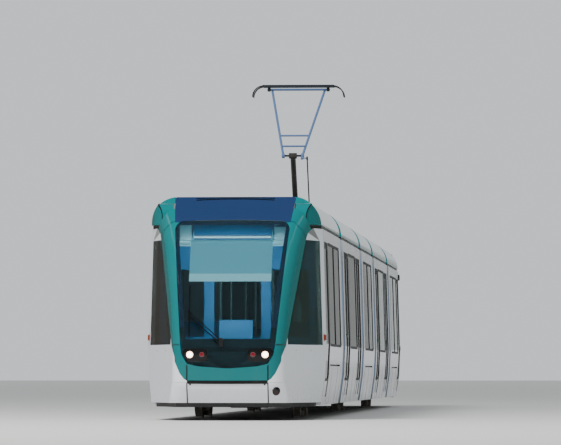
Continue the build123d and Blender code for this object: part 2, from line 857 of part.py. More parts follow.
def turntable_seat(joint_x):
    """Space for the turntable disc in the neighbouring floor."""
    with BuildPart() as seat:
        with Locations((joint_x, 0, DISC_Z - 5)):
            Cylinder(
                TURNTABLE_R + TURNTABLE_GAP,
                200,
                align=(Align.CENTER, Align.CENTER, Align.MIN),
            )
    return seat.part


def tongue(joint_x, end_x):
    """Flat bar from a floor's end at end_x to the hinge, with the bore for the pin."""
    root = end_x + (20 if end_x < joint_x else -20)
    with BuildPart() as bar:
        with BuildSketch(Plane.XY.offset(TONGUE_LOW_Z)):
            with Locations(((joint_x + root) / 2, 0)):
                Rectangle(abs(joint_x - root), 2 * PIVOT_BOSS_R)
            with Locations((joint_x, 0)):
                Circle(PIVOT_BOSS_R)
                Circle(PIVOT_R + AXLE_CLEARANCE, mode=Mode.SUBTRACT)
        extrude(amount=TONGUE_HIGH_Z - TONGUE_LOW_Z)
    return bar.part


def turntable(joint_x, end_x):
    """Disc over the hinge with its pin, and the fork plate under it, on the floor that ends at end_x."""
    with BuildPart() as table:
        with Locations((joint_x, 0, DISC_Z)):
            Cylinder(
                TURNTABLE_R,
                FLOOR_Z - DISC_Z,
                align=(Align.CENTER, Align.CENTER, Align.MIN),
            )
        with Locations((joint_x, 0, FORK_LOW_Z)):
            Cylinder(
                PIVOT_R, DISC_Z - FORK_LOW_Z, align=(Align.CENTER, Align.CENTER, Align.MIN)
            )
        with BuildSketch(Plane.XY.offset(FORK_LOW_Z)):
            with Locations(((joint_x + end_x) / 2, 0)):
                Rectangle(abs(joint_x - end_x) + 60, 2 * PIVOT_BOSS_R)
            with Locations((joint_x, 0)):
                Circle(PIVOT_BOSS_R)
        extrude(amount=FORK_HIGH_Z - FORK_LOW_Z)
    return table.part


centre_slabs = []
for side in (-1, 1):
    inner_x, end_x = side * WELL_HALF, side * CENTRE_END_X
    with BuildPart() as centre_slab:
        add(floor_slab(min(inner_x, end_x), max(inner_x, end_x)))
        add(turntable_seat(side * INNER_JOINT_X), mode=Mode.SUBTRACT)
        add(tongue(side * INNER_JOINT_X, side * (CENTRE_END_X - 40)))
    centre_slabs.append(centre_slab.part)
write(Compound(centre_slabs + bogie_floor(0)), "floor_centre")

with BuildPart() as mid_floor:
    add(floor_slab(MID_REAR_X, MID_FRONT_X))
    add(turntable(INNER_JOINT_X, MID_REAR_X))
    add(turntable(OUTER_JOINT_X, MID_FRONT_X))
write_both_ends(mid_floor.part, "floor_mid")

with BuildPart() as cab_floor_end:
    with Locations((PILLAR_X, 0, (UNDERFRAME_Z + FLOOR_Z) / 2)):
        Box(
            HALF_LENGTH - PILLAR_X,
            BODY_WIDTH,
            FLOOR_Z - UNDERFRAME_Z,
            align=(Align.MIN, Align.CENTER, Align.CENTER),
        )
    add(nose_fit, mode=Mode.INTERSECT)
with BuildPart() as cab_front_floor:
    add(floor_slab(BOGIE_X + WELL_HALF, PILLAR_X))
    add(cab_floor_end.part)
with BuildPart() as cab_rear_floor:
    add(floor_slab(CAB_REAR_X, BOGIE_X - WELL_HALF))
    add(turntable_seat(OUTER_JOINT_X), mode=Mode.SUBTRACT)
    add(tongue(OUTER_JOINT_X, CAB_REAR_X + 40))
with BuildPart() as valance:
    with Locations((PILLAR_X + SEAT_GAP, 0, (VALANCE_Z + UNDERFRAME_Z) / 2)):
        Box(
            HALF_LENGTH - PILLAR_X,
            BODY_WIDTH,
            UNDERFRAME_Z - VALANCE_Z - 2 * SEAT_GAP,
            align=(Align.MIN, Align.CENTER, Align.CENTER),
        )
    add(nose_fit, mode=Mode.INTERSECT)
cab_floors = [cab_front_floor.part, cab_rear_floor.part, *bogie_floor(BOGIE_X), valance.part]
write_both_ends(Compound(cab_floors), "floor")


# Lamps: a housing sunk in the dark glass on each side with its lenses, and a marker on each pillar
with BuildPart() as lamp_housings:
    add(nose_shell.part)
    add(bezel_fit_cutter, mode=Mode.INTERSECT)
    add(lens_cutter, mode=Mode.SUBTRACT)
with BuildPart() as lenses:
    add(nose_glass_inner)
    add(nose_inner, mode=Mode.SUBTRACT)
    split(bisect_by=Plane.YZ.offset(PILLAR_X + 1000), keep=Keep.TOP)
    add(lens_fit_cutter, mode=Mode.INTERSECT)
MARKER_X, MARKER_Z = PILLAR_X + 76, FLANGE + 1190
MARKER_LENGTH, MARKER_HEIGHT, MARKER_DEPTH = 64, 110, 20
marker_y = flank_y(MARKER_X, MARKER_Z)
marker_slope = (marker_y - flank_y(MARKER_X + 50, MARKER_Z)) / 50
marker_lean = (flank_y(MARKER_X, MARKER_Z) - flank_y(MARKER_X, MARKER_Z + 50)) / 50
with BuildPart() as markers:
    marker_plane = Plane(
        origin=(MARKER_X, marker_y + 1, MARKER_Z),
        x_dir=(1, -marker_slope, 0),
        z_dir=(marker_slope, 1, marker_lean),
    )
    with BuildSketch(marker_plane):
        RectangleRounded(MARKER_LENGTH, MARKER_HEIGHT, 14)
    extrude(amount=MARKER_DEPTH)
    mirror(about=Plane.XZ)
write_both_ends(Compound([lamp_housings.part, lenses.part, markers.part]), "lamps")


# Wiper: two arms from one pivot and a blade that lies along the glass
def front_point(y, height, lift):
    """Place in front of the windscreen."""
    return Vector(skin_x(y, height) + lift, y, height)


def bar_along(path, width, depth):
    """Flat bar swept along a path."""
    with BuildPart() as bar:
        with BuildSketch(Plane(origin=path @ 0, x_dir=(0, 1, 0), z_dir=path % 0)):
            Rectangle(width, depth)
        sweep(path=path)
    return bar.part


# columns: start y, start z, end y, end z
WIPER_ARMS = [(-60, 1130, -560, 1570), (-120, 1130, -560, 1500)]
with BuildPart() as wiper:
    with BuildSketch(Plane(origin=front_point(-90, 1130, -60), z_dir=(1, 0, 0))):
        RectangleRounded(130, 60, 28)
    extrude(amount=130)
    add(nose_outer.moved(Location((SEAT_GAP, 0, 0))), mode=Mode.SUBTRACT)
    for start_y, start_z, end_y, end_z in WIPER_ARMS:
        with BuildLine() as arm_line:
            Line(front_point(start_y, start_z, 52), front_point(end_y, end_z, 66))
        add(bar_along(arm_line.line, 14, 14))
    with BuildLine() as blade_line:
        ThreePointArc(
            front_point(-575, 1950, 38), front_point(-565, 1570, 38), front_point(-555, 1195, 38)
        )
    add(bar_along(blade_line.line, 18, 30))
    with BuildLine() as bridge_line:
        Line(front_point(-562, 1480, 56), front_point(-565, 1600, 56))
    add(bar_along(bridge_line.line, 30, 30))
write_both_ends(wiper.part, "wiper")


# Bellows: folds across the gap between two modules, over the sides and the roof
BELLOWS_FOLDS = 6
BELLOWS_LOW_Z = FLANGE + 245
BELLOWS_TOP_Z = CANT_Z - 30


def bellows_band(start_x, inset):
    top = BELLOWS_TOP_Z - inset
    inner_top = BELLOWS_TOP_Z - 110
    with BuildSketch(Plane.YZ.offset(start_x)) as band:
        with BuildLine():
            side_line(BELLOWS_LOW_Z, top, inset)
            Polyline(
                (side_y(top) - inset, top),
                (0, top),
                (0, inner_top),
                (side_y(inner_top) - 110, inner_top),
            )
            side_line(inner_top, BELLOWS_LOW_Z, 110)
            Line(
                (side_y(BELLOWS_LOW_Z) - 110, BELLOWS_LOW_Z),
                (side_y(BELLOWS_LOW_Z) - inset, BELLOWS_LOW_Z),
            )
        make_face()
        mirror(about=Plane.YZ)
    return band.sketch


def bellows(joint_x):
    rear_x = joint_x - GANGWAY_HALF + SEAT_GAP
    length = 2 * (GANGWAY_HALF - SEAT_GAP)
    pitch = length / BELLOWS_FOLDS
    with BuildPart() as folds:
        extrude(bellows_band(rear_x, 70), amount=length)
        for fold in range(BELLOWS_FOLDS):
            extrude(bellows_band(rear_x + (fold + 0.2) * pitch, 30), amount=0.6 * pitch)
    return folds.part


write(bellows(OUTER_JOINT_X), "bellows_1")
write(bellows(INNER_JOINT_X), "bellows_2")
write(bellows(-INNER_JOINT_X), "bellows_3")
write(bellows(-OUTER_JOINT_X), "bellows_4")


# Running gear
BOGIES = [("front", BOGIE_X, True), ("centre", 0, False), ("rear", -BOGIE_X, True)]
BOX_LENGTH = 240
SPRING_X = 160
SPRING_LENGTH = 170


def side_align(side):
    """Alignment that makes a box start at its place and run out to one side."""
    return Align.MIN if side > 0 else Align.MAX


def bogie(centre_x, powered):
    """Frame with side beams, axle boxes, cross beams, pivot and rubber springs, and motors if powered."""
    half_base = WHEELBASE / 2
    with BuildPart() as frame:
        with Locations((centre_x, BEAM_Y, FLANGE + 355), (centre_x, -BEAM_Y, FLANGE + 355)):
            Box(2100, BEAM_WIDTH, 100)
        for end_x in (-half_base, half_base):
            for side in (-1, 1):
                with Locations((centre_x + end_x, side * BEAM_Y, AXLE_Z)):
                    Box(BOX_LENGTH, BEAM_WIDTH, 220)
        for beam_x in (-220, 220):
            with Locations((centre_x + beam_x, 0, FLANGE + 285)):
                Box(140, 2 * BEAM_Y, 120)
        with Locations((centre_x, 0, FLANGE + 285)):
            Box(320, 260, 120)
        with Locations((centre_x, 0, FLANGE + 285)):
            Cylinder(
                90,
                AISLE_Z - SEAT_GAP - FLANGE - 285,
                align=(Align.CENTER, Align.CENTER, Align.MIN),
            )
        for spring_x in (-SPRING_X, SPRING_X):
            for side in (-1, 1):
                with Locations((centre_x + spring_x, side * BEAM_Y, FLANGE + 400)):
                    Box(
                        SPRING_LENGTH,
                        BEAM_WIDTH,
                        WHEEL_BOX_Z - SEAT_GAP - FLANGE - 400,
                        align=(Align.CENTER, Align.CENTER, Align.MIN),
                    )
        for end_x in (-half_base, half_base):
            with BuildSketch(Plane.XZ):
                with Locations((centre_x + end_x, AXLE_Z)):
                    Circle(AXLE_R + AXLE_CLEARANCE)
            extrude(amount=BODY_WIDTH, both=True, mode=Mode.SUBTRACT)
    pieces = [frame.part]
    if powered:
        with BuildPart() as motors:
            for side in (-1, 1):
                with Locations((centre_x + side * (290 + SEAT_GAP), 0, FLANGE + 255)):
                    Box(400, 560, 250, align=(side_align(side), Align.CENTER, Align.CENTER))
            chamfer(motors.edges().filter_by(Axis.Y), length=50)
        pieces.append(motors.part)
    return Compound(pieces)


for name, centre_x, powered in BOGIES:
    write(bogie(centre_x, powered), f"bogie_{name}")

# One wheel's half section; columns: y, radius
WHEEL_SECTION = [
    (BACK_TO_BACK / 2, AXLE_R - 1),
    (BACK_TO_BACK / 2, WHEEL_R + FLANGE),
    (BACK_TO_BACK / 2 + 32, WHEEL_R),
    (BACK_TO_BACK / 2 + WHEEL_WIDTH, WHEEL_R),
    (BACK_TO_BACK / 2 + WHEEL_WIDTH, AXLE_R - 1),
]


def wheelset(axle_x):
    with BuildPart() as wheels:
        with BuildSketch(Plane.YZ.offset(axle_x)):
            with BuildLine():
                Polyline(
                    *[(y, AXLE_Z + radius) for y, radius in WHEEL_SECTION],
                    (WHEEL_SECTION[0][0], AXLE_Z + AXLE_R - 1),
                )
            make_face()
        revolve(axis=Axis((axle_x, 0, AXLE_Z), (0, 1, 0)))
        mirror(about=Plane.XZ)
        with BuildSketch(Plane.XZ.offset(-AXLE_HALF)):
            with Locations((axle_x, AXLE_Z)):
                Circle(AXLE_R)
        extrude(amount=2 * AXLE_HALF)
    return wheels.part


axle_number = 0
for name, centre_x, powered in BOGIES:
    for side in (1, -1):
        axle_number += 1
        write(wheelset(centre_x + side * WHEELBASE / 2), f"wheelset_{axle_number}")


# Saloon and cab fittings
SEAT_Z = FLOOR_Z + 480
POLE_R = 17
POLE_Y = 400
DOUBLE_SEAT_Y, DOUBLE_SEAT_WIDTH = 780, 806


def seat(back_x, facing, base_z, y=DOUBLE_SEAT_Y, width=DOUBLE_SEAT_WIDTH):
    """Pedestal, cushion and back of one bench, centred at y, facing forward (1) or back (-1)."""
    section = [
        (90, base_z + SEAT_GAP),
        (340, base_z + SEAT_GAP),
        (340, SEAT_Z - 90),
        (450, SEAT_Z - 60),
        (450, SEAT_Z),
        (60, SEAT_Z - 15),
        (-50, SEAT_Z + 620),
        (-110, SEAT_Z + 620),
        (0, SEAT_Z - 90),
        (90, SEAT_Z - 95),
        (90, base_z + SEAT_GAP),
    ]
    with BuildPart() as bench:
        with BuildSketch(Plane.XZ.offset(-y - width / 2)):
            with BuildLine():
                Polyline(*[(back_x + facing * x, z) for x, z in section])
            make_face()
        extrude(amount=width)
    return bench.part


def fittings(seats, poles):
    """Benches and grab poles on both sides of a saloon."""
    with BuildPart() as fitted:
        for back_x, facing, base_z in seats:
            add(seat(back_x, facing, base_z))
        for pole_x, base_z in poles:
            with Locations((pole_x, POLE_Y, base_z + SEAT_GAP)):
                Cylinder(
                    POLE_R,
                    CEILING_Z - base_z - 2 * SEAT_GAP,
                    align=(Align.CENTER, Align.CENTER, Align.MIN),
                )
        mirror(about=Plane.XZ)
    return fitted.part


BOX_TOP_Z = WHEEL_BOX_Z + WELL_PLATE
AISLE_TOP_Z = AISLE_Z + WELL_PLATE
# Benches: columns are the back's x, facing, height of the support. Poles: x, height of the support
CENTRE_SEATS = [(-900, 1, BOX_TOP_Z), (900, -1, BOX_TOP_Z)]
CENTRE_POLES = [(-1060, AISLE_TOP_Z)]
MID_SEATS = [(4900, 1, FLOOR_Z), (6550, -1, FLOOR_Z)]
MID_POLES = [(4560, FLOOR_Z), (6890, FLOOR_Z)]
CAB_SEATS = [(10280, 1, BOX_TOP_Z), (12100, -1, BOX_TOP_Z)]
CAB_POLES = [(10120, AISLE_TOP_Z), (12280, AISLE_TOP_Z)]

write(fittings(CENTRE_SEATS, CENTRE_POLES), "interior_centre")
write_both_ends(fittings(MID_SEATS, MID_POLES), "interior_mid")

PARTITION_X = 14170
with BuildPart() as partition:
    with BuildSketch(Plane.YZ.offset(PARTITION_X)):
        with Locations((0, (FLOOR_Z + CEILING_Z) / 2)):
            Rectangle(2300, CEILING_Z - FLOOR_Z - 2 * SEAT_GAP)
        with Locations((0, FLANGE + 1700)):
            Rectangle(700, 1000, mode=Mode.SUBTRACT)
        with Locations((780, FLANGE + 1700), (-780, FLANGE + 1700)):
            Rectangle(560, 1000, mode=Mode.SUBTRACT)
    extrude(amount=40)
with BuildPart() as desk:
    with BuildSketch(Plane.XZ.offset(-850)):
        with BuildLine():
            Polyline(
                (15060, 1090),
                (15350, 1130),
                (15820, 960),
                (15900, 800),
                (15900, FLOOR_Z + SEAT_GAP),
                (15500, FLOOR_Z + SEAT_GAP),
                (15450, 980),
                (15060, 1040),
                (15060, 1090),
            )
        make_face()
    extrude(amount=1700)
    add(nose_fit, mode=Mode.INTERSECT)
with BuildPart() as driver_seat:
    add(seat(14560, 1, FLOOR_Z, 0, 500))
DISPLAY_Z, DISPLAY_HEIGHT, DISPLAY_HALF = FLANGE + 2775, 170, 600
BLIND_LOW_Z, BLIND_HIGH_Z, BLIND_HALF = FLANGE + 1995, FLANGE + 2580, 600
BLIND_SETBACK = 90
ROLLER_R = 32
display_x = skin_x(DISPLAY_HALF, DISPLAY_Z + DISPLAY_HEIGHT / 2) - 60
blind_low_x = skin_x(BLIND_HALF, BLIND_LOW_Z) - BLIND_SETBACK
blind_high_x = skin_x(BLIND_HALF, BLIND_HIGH_Z) - BLIND_SETBACK
display_rear_x = PILLAR_X + CAB_DECK_LENGTH + 2 * SEAT_GAP
with BuildPart() as sign_and_blind:
    with Locations((display_rear_x, 0, DISPLAY_Z)):
        Box(
            display_x - display_rear_x,
            2 * DISPLAY_HALF,
            DISPLAY_HEIGHT,
            align=(Align.MIN, Align.CENTER, Align.CENTER),
        )
    with BuildSketch(Plane.XZ.offset(-BLIND_HALF)):
        with BuildLine():
            Polyline(
                (blind_low_x - 6, BLIND_LOW_Z),
                (blind_low_x, BLIND_LOW_Z),
                (blind_high_x, BLIND_HIGH_Z),
                (blind_high_x - 6, BLIND_HIGH_Z),
                (blind_low_x - 6, BLIND_LOW_Z),
            )
        make_face()
    extrude(amount=2 * BLIND_HALF)
    with BuildSketch(Plane.XZ.offset(-BLIND_HALF - 20)):
        with Locations((blind_high_x - ROLLER_R, BLIND_HIGH_Z)):
            Circle(ROLLER_R)
    extrude(amount=2 * BLIND_HALF + 40)
    for side in (-1, 1):
        with BuildSketch(Plane.XZ.offset(side * (BLIND_HALF - 20) - 10)):
            with BuildLine():
                Polyline(
                    (blind_high_x - 60, BLIND_HIGH_Z - 10),
                    (blind_high_x - 10, BLIND_HIGH_Z - 10),
                    (blind_high_x - 10, BLIND_HIGH_Z + 30),
                    (display_x + 4, DISPLAY_Z),
                    (display_x - 60, DISPLAY_Z),
                    (display_x - 60, DISPLAY_Z - DISPLAY_HEIGHT / 2),
                    (blind_high_x - 60, BLIND_HIGH_Z - 10),
                )
            make_face()
        extrude(amount=20)
cab_fittings = [partition.part, desk.part, driver_seat.part, sign_and_blind.part]
write_both_ends(Compound([fittings(CAB_SEATS, CAB_POLES), *cab_fittings]), "interior")


# Pantograph
PANTO_X, PANTO_Z = -300, FLANGE + 3355
KNEE_X, KNEE_Z = 800, FLANGE + 4525
HEAD_X, HEAD_Z = -900, FLANGE + 5805
ROD_X, ROD_Z = 44, FLANGE + 3399
CRANK_X, CRANK_Z = 920.5, FLANGE + 4476.3
ROD_Y = 260
PIN_R = 18
ROD_PIN_R = 10
ROD_EYE_R = 18
KNEE_HALF = 170
HEAD_HALF = 480
STRIP_HALF = 645
HORN_HALF = 825
HORN_DROP = 200


def tube(start, end, radius, bore=0):
    """Round bar or tube between two places."""
    start, end = Vector(*start), Vector(*end)
    with BuildPart() as bar:
        with BuildSketch(Plane(origin=start, z_dir=end - start)):
            Circle(radius)
            if bore:
                Circle(bore, mode=Mode.SUBTRACT)
        extrude(amount=(end - start).length)
    return bar.part


def cross_bar(x, z, low_y, high_y, radius, bore=0):
    return tube((x, low_y, z), (x, high_y, z), radius, bore)


DECK_TOP_Z = CANT_Z - 20
with BuildPart() as panto_base:
    for frame_x in (-460, 560):
        with Locations((frame_x, 0, FLANGE + 3285)):
            Box(70, 900, 50)
        for side in (-1, 1):
            with Locations((frame_x, side * 400, DECK_TOP_Z + SEAT_GAP)):
                Cylinder(
                    55,
                    FLANGE + 3265 - DECK_TOP_Z,
                    align=(Align.CENTER, Align.CENTER, Align.MIN),
                )
    for side in (-1, 1):
        with Locations((50, side * 330, FLANGE + 3285)):
            Box(1020, 60, 50)
        with Locations((PANTO_X, side * 310, FLANGE + 3320)):
            Box(120, 40, 140)
    add(cross_bar(PANTO_X, PANTO_Z, -330, 330, PIN_R))
    with Locations((ROD_X, ROD_Y + 35, FLANGE + 3345)):
        Box(70, 30, 140)
    add(cross_bar(ROD_X, ROD_Z, ROD_Y - 18, ROD_Y + 35, ROD_PIN_R))
write(panto_base.part, "pantograph_base")

with BuildPart() as lower_arm:
    add(cross_bar(PANTO_X, PANTO_Z, -280, 280, 50))
    add(tube((PANTO_X, 0, PANTO_Z), (KNEE_X, 0, KNEE_Z), 48))
    add(cross_bar(KNEE_X, KNEE_Z, -70, 70, 50))
    add(cross_bar(KNEE_X, KNEE_Z, -200, 200, PIN_R))
    add(cross_bar(PANTO_X, PANTO_Z, -400, 400, PIN_R + AXLE_CLEARANCE), mode=Mode.SUBTRACT)
write(lower_arm.part, "pantograph_lower_arm")

# Braces between the upper arm's tubes; columns: place along the arm, height over its middle. The
# one by the knee lies on top of the tubes, to clear the lower arm when the arms are folded.
BRACES = [(0.12, 32), (0.3, 0)]
arm_normal = Vector(KNEE_Z - HEAD_Z, 0, HEAD_X - KNEE_X).normalized() * -1
with BuildPart() as upper_arm:
    for side in (-1, 1):
        add(cross_bar(KNEE_X, KNEE_Z, side * (KNEE_HALF - 24), side * (KNEE_HALF + 24), 42))
        add(
            tube(
                (KNEE_X, side * KNEE_HALF, KNEE_Z),
                (HEAD_X, side * HEAD_HALF, HEAD_Z),
                21,
            )
        )
    add(cross_bar(HEAD_X, HEAD_Z, -HEAD_HALF - 90, HEAD_HALF + 90, 20))
    for along, lift in BRACES:
        brace_x = KNEE_X + along * (HEAD_X - KNEE_X) + lift * arm_normal.X
        brace_z = KNEE_Z + along * (HEAD_Z - KNEE_Z) + lift * arm_normal.Z
        brace_y = KNEE_HALF + along * (HEAD_HALF - KNEE_HALF)
        add(cross_bar(brace_x, brace_z, -brace_y, brace_y, 16))
    add(tube((KNEE_X, KNEE_HALF, KNEE_Z), (CRANK_X, KNEE_HALF, CRANK_Z), 17))
    add(cross_bar(CRANK_X, CRANK_Z, KNEE_HALF - 22, KNEE_HALF + 22, 26))
    add(cross_bar(CRANK_X, CRANK_Z, KNEE_HALF, ROD_Y + 16, ROD_PIN_R))
    add(cross_bar(KNEE_X, KNEE_Z, -400, 400, PIN_R + AXLE_CLEARANCE), mode=Mode.SUBTRACT)
write(upper_arm.part, "pantograph_upper_arm")

with BuildPart() as control_rod:
    add(cross_bar(ROD_X, ROD_Z, ROD_Y - 15, ROD_Y + 15, 26))
    add(cross_bar(CRANK_X, CRANK_Z, ROD_Y - 15, ROD_Y + 15, 30))
    add(tube((ROD_X, ROD_Y, ROD_Z), (CRANK_X, ROD_Y, CRANK_Z), 12))
    add(
        cross_bar(ROD_X, ROD_Z, ROD_Y - 40, ROD_Y + 40, ROD_PIN_R + AXLE_CLEARANCE),
        mode=Mode.SUBTRACT,
    )
    add(cross_bar(CRANK_X, CRANK_Z, ROD_Y - 40, ROD_Y + 40, ROD_EYE_R), mode=Mode.SUBTRACT)
write(control_rod.part, "pantograph_control_rod")

with BuildPart() as head:
    for side in (-1, 1):
        add(cross_bar(HEAD_X, HEAD_Z, side * (HEAD_HALF + 30), side * (HEAD_HALF + 80), 36))
        with Locations((HEAD_X, side * (HEAD_HALF + 55), HEAD_Z + 45)):
            Box(340, 30, 30)
    for strip_x in (-150, 150):
        with Locations((HEAD_X + strip_x, 0, HEAD_Z + 60)):
            Box(50, 2 * STRIP_HALF, 36)
        for side in (-1, 1):
            with BuildLine() as horn_line:
                ThreePointArc(
                    (HEAD_X + strip_x, side * (STRIP_HALF - 5), HEAD_Z + 60),
                    (HEAD_X + strip_x, side * 760, HEAD_Z + 10),
                    (HEAD_X + strip_x, side * HORN_HALF, HEAD_Z + 60 - HORN_DROP),
                )
            with BuildSketch(
                Plane(origin=horn_line.line @ 0, x_dir=(1, 0, 0), z_dir=horn_line.line % 0)
            ):
                Rectangle(30, 22)
            sweep(path=horn_line.line)
    add(
        cross_bar(HEAD_X, HEAD_Z, -HEAD_HALF - 100, HEAD_HALF + 100, 20 + AXLE_CLEARANCE),
        mode=Mode.SUBTRACT,
    )
write(head.part, "pantograph_head")
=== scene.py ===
import bpy
from math import cos, hypot, pi, sin
from mathutils import Matrix, Vector


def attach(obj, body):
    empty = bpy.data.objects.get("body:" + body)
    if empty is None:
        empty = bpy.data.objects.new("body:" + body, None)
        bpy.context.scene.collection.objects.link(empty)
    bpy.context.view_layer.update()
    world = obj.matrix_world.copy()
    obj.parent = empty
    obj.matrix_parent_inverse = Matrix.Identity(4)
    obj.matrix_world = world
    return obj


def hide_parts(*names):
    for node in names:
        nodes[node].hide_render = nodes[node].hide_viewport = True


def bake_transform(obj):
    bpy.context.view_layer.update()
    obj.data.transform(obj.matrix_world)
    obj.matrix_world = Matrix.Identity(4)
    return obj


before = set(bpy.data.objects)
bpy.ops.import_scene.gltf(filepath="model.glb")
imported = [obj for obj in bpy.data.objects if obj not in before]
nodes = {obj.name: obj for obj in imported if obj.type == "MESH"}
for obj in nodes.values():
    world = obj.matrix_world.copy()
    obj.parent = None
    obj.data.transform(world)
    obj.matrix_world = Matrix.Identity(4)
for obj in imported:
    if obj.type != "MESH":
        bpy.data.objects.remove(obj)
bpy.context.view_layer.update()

# Wheelsets. Rolled steel wheels pressed on a forged axle: the rails keep the treads bright, brake dust
# browns the webs, and a bolted steel cover closes the rubber-sprung hub of each wheel.
AXLE_HEIGHT = 0.32
AXLE_X = {1: 12.0, 2: 10.4, 3: 0.8, 4: -0.8, 5: -10.4, 6: -12.0}
WHEEL_FACE_Y = 0.805
TYRE_INNER_RADIUS = 0.27
AXLE_RADIUS = 0.07
RING_DENSITY = 900
COVER_RADIUS = 0.165
COVER_BOLTS = 8
BOLT_CIRCLE = 0.14
ALONG_Y = (pi / 2, 0, 0)
MIRROR = Matrix.Scale(-1, 4, (0, 1, 0))


def srgb(code):
    """Colour from a six-digit sRGB code, as the linear value that a shader takes."""
    channels = [int(code[i:i + 2], 16) / 255 for i in (0, 2, 4)]
    return (*[c / 12.92 if c <= 0.04045 else ((c + 0.055) / 1.055) ** 2.4 for c in channels], 1.0)


def new_group(name, inputs, outputs):
    """Empty node group; inputs are name, kind and default, outputs are name and kind."""
    group = bpy.data.node_groups.new(name, "ShaderNodeTree")
    for label, kind, default in inputs:
        socket = group.interface.new_socket(name=label, in_out="INPUT", socket_type=kind)
        socket.default_value = default
    for label, kind in outputs:
        group.interface.new_socket(name=label, in_out="OUTPUT", socket_type=kind)
    return group, group.nodes.new("NodeGroupInput"), group.nodes.new("NodeGroupOutput")


def feed(tree, value, socket):
    """Link an output to a socket, or set the socket to a number, a vector or a colour code."""
    if hasattr(value, "links"):
        tree.links.new(value, socket)
    else:
        socket.default_value = srgb(value) if isinstance(value, str) else value


def math_node(tree, operation, *values):
    node = tree.nodes.new("ShaderNodeMath")
    node.operation = operation
    for socket, value in zip(node.inputs, values):
        feed(tree, value, socket)
    return node.outputs[0]


def mix_colours(tree, factor, first, second):
    node = tree.nodes.new("ShaderNodeMix")
    node.data_type = "RGBA"
    for label, value in (("Factor", factor), ("A", first), ("B", second)):
        feed(tree, value, node.inputs[label])
    return node.outputs["Result"]


def object_place(tree):
    return tree.nodes.new("ShaderNodeTexCoord").outputs["Object"]


def object_axes(tree):
    """Outputs X, Y and Z of the Object coordinates."""
    split = tree.nodes.new("ShaderNodeSeparateXYZ")
    tree.links.new(object_place(tree), split.inputs[0])
    return split.outputs


def noise_node(tree, place, scale, detail, stretch=(1, 1, 1)):
    """Noise on Object coordinates, stretched along the axes."""
    mapping = tree.nodes.new("ShaderNodeMapping")
    mapping.inputs["Scale"].default_value = stretch
    tree.links.new(place, mapping.inputs["Vector"])
    noise = tree.nodes.new("ShaderNodeTexNoise")
    noise.inputs["Scale"].default_value = scale
    noise.inputs["Detail"].default_value = detail
    tree.links.new(mapping.outputs[0], noise.inputs["Vector"])
    return noise.outputs[0]


# Road film: a brownish grey that thickens towards the rails, runs down in streaks and gathers in blotches.
road_film, film_in, film_out = new_group(
    "road_film",
    [
        ("Colour", "NodeSocketColor", (0.8, 0.8, 0.8, 1)),
        ("Film", "NodeSocketColor", srgb("8a8378")),
        ("Top", "NodeSocketFloat", 0.9),
        ("Amount", "NodeSocketFloat", 0.35),
        ("Roughness", "NodeSocketFloat", 0.25),
        ("Grain", "NodeSocketFloat", 60.0),
    ],
    [("Colour", "NodeSocketColor"), ("Roughness", "NodeSocketFloat"), ("Height", "NodeSocketFloat")],
)
place = object_place(road_film)
blotches = noise_node(road_film, place, 1.7, 6)
streaks = noise_node(road_film, place, 1.0, 4, (14, 14, 0.8))
depth = math_node(road_film, "DIVIDE", object_axes(road_film)["Z"], film_in.outputs["Top"])
depth = math_node(road_film, "SUBTRACT", 1.25, depth)
depth = math_node(road_film, "MAXIMUM", depth, 0.12)
depth = math_node(road_film, "MULTIPLY", depth, film_in.outputs["Amount"])
patches = math_node(road_film, "MULTIPLY", blotches, streaks)
patches = math_node(road_film, "MULTIPLY", patches, 2.2)
depth = math_node(road_film, "MULTIPLY", depth, patches)
depth = math_node(road_film, "MINIMUM", depth, 1.0)
film_colour = mix_colours(road_film, depth, film_in.outputs["Colour"], film_in.outputs["Film"])
road_film.links.new(film_colour, film_out.inputs["Colour"])
rougher = math_node(road_film, "MULTIPLY_ADD", depth, 0.6, film_in.outputs["Roughness"])
road_film.links.new(rougher, film_out.inputs["Roughness"])
fine = road_film.nodes.new("ShaderNodeTexNoise")
fine.inputs["Detail"].default_value = 3
road_film.links.new(place, fine.inputs["Vector"])
road_film.links.new(film_in.outputs["Grain"], fine.inputs["Scale"])
road_film.links.new(fine.outputs[0], film_out.inputs["Height"])


def new_material(name, settings):
    """Material whose shader has these inputs set."""
    material = bpy.data.materials.new(name)
    material.use_nodes = True
    shader = material.node_tree.nodes["Principled BSDF"]
    for label, value in settings.items():
        feed(material.node_tree, value, shader.inputs[label])
    return material


def bumped(tree, height, strength, distance):
    """Give a material's shader a relief."""
    relief = tree.nodes.new("ShaderNodeBump")
    relief.inputs["Strength"].default_value = strength
    relief.inputs["Distance"].default_value = distance
    tree.links.new(height, relief.inputs["Height"])
    tree.links.new(relief.outputs[0], tree.nodes["Principled BSDF"].inputs["Normal"])


def finish_material(name, colour, rough, metallic=0.0, coat=0.0, film=0.3, top=0.9, bump=0.0, grain=60.0):
    """Paint, plastic or metal under a film of road dust."""
    material = new_material(name, {"Metallic": metallic, "Coat Weight": coat, "Coat Roughness": 0.05})
    tree = material.node_tree
    shader = tree.nodes["Principled BSDF"]
    dusty = tree.nodes.new("ShaderNodeGroup")
    dusty.name = "dusty"
    dusty.node_tree = road_film
    settings = {"Colour": colour, "Amount": film, "Top": top, "Roughness": rough, "Grain": grain}
    for label, value in settings.items():
        feed(tree, value, dusty.inputs[label])
    tree.links.new(dusty.outputs["Colour"], shader.inputs["Base Color"])
    tree.links.new(dusty.outputs["Roughness"], shader.inputs["Roughness"])
    if bump:
        bumped(tree, dusty.outputs["Height"], bump, 0.002)
    return material


def dress(node, finishes, choose=lambda centre, normal: 0):
    """Give each face of a CAD node the finish whose number choose() returns for its place and normal."""
    mesh = nodes[node].data
    mesh.materials.clear()
    for material in finishes:
        mesh.materials.append(material)
    for face in mesh.polygons:
        face.material_index = choose(face.center, face.normal)


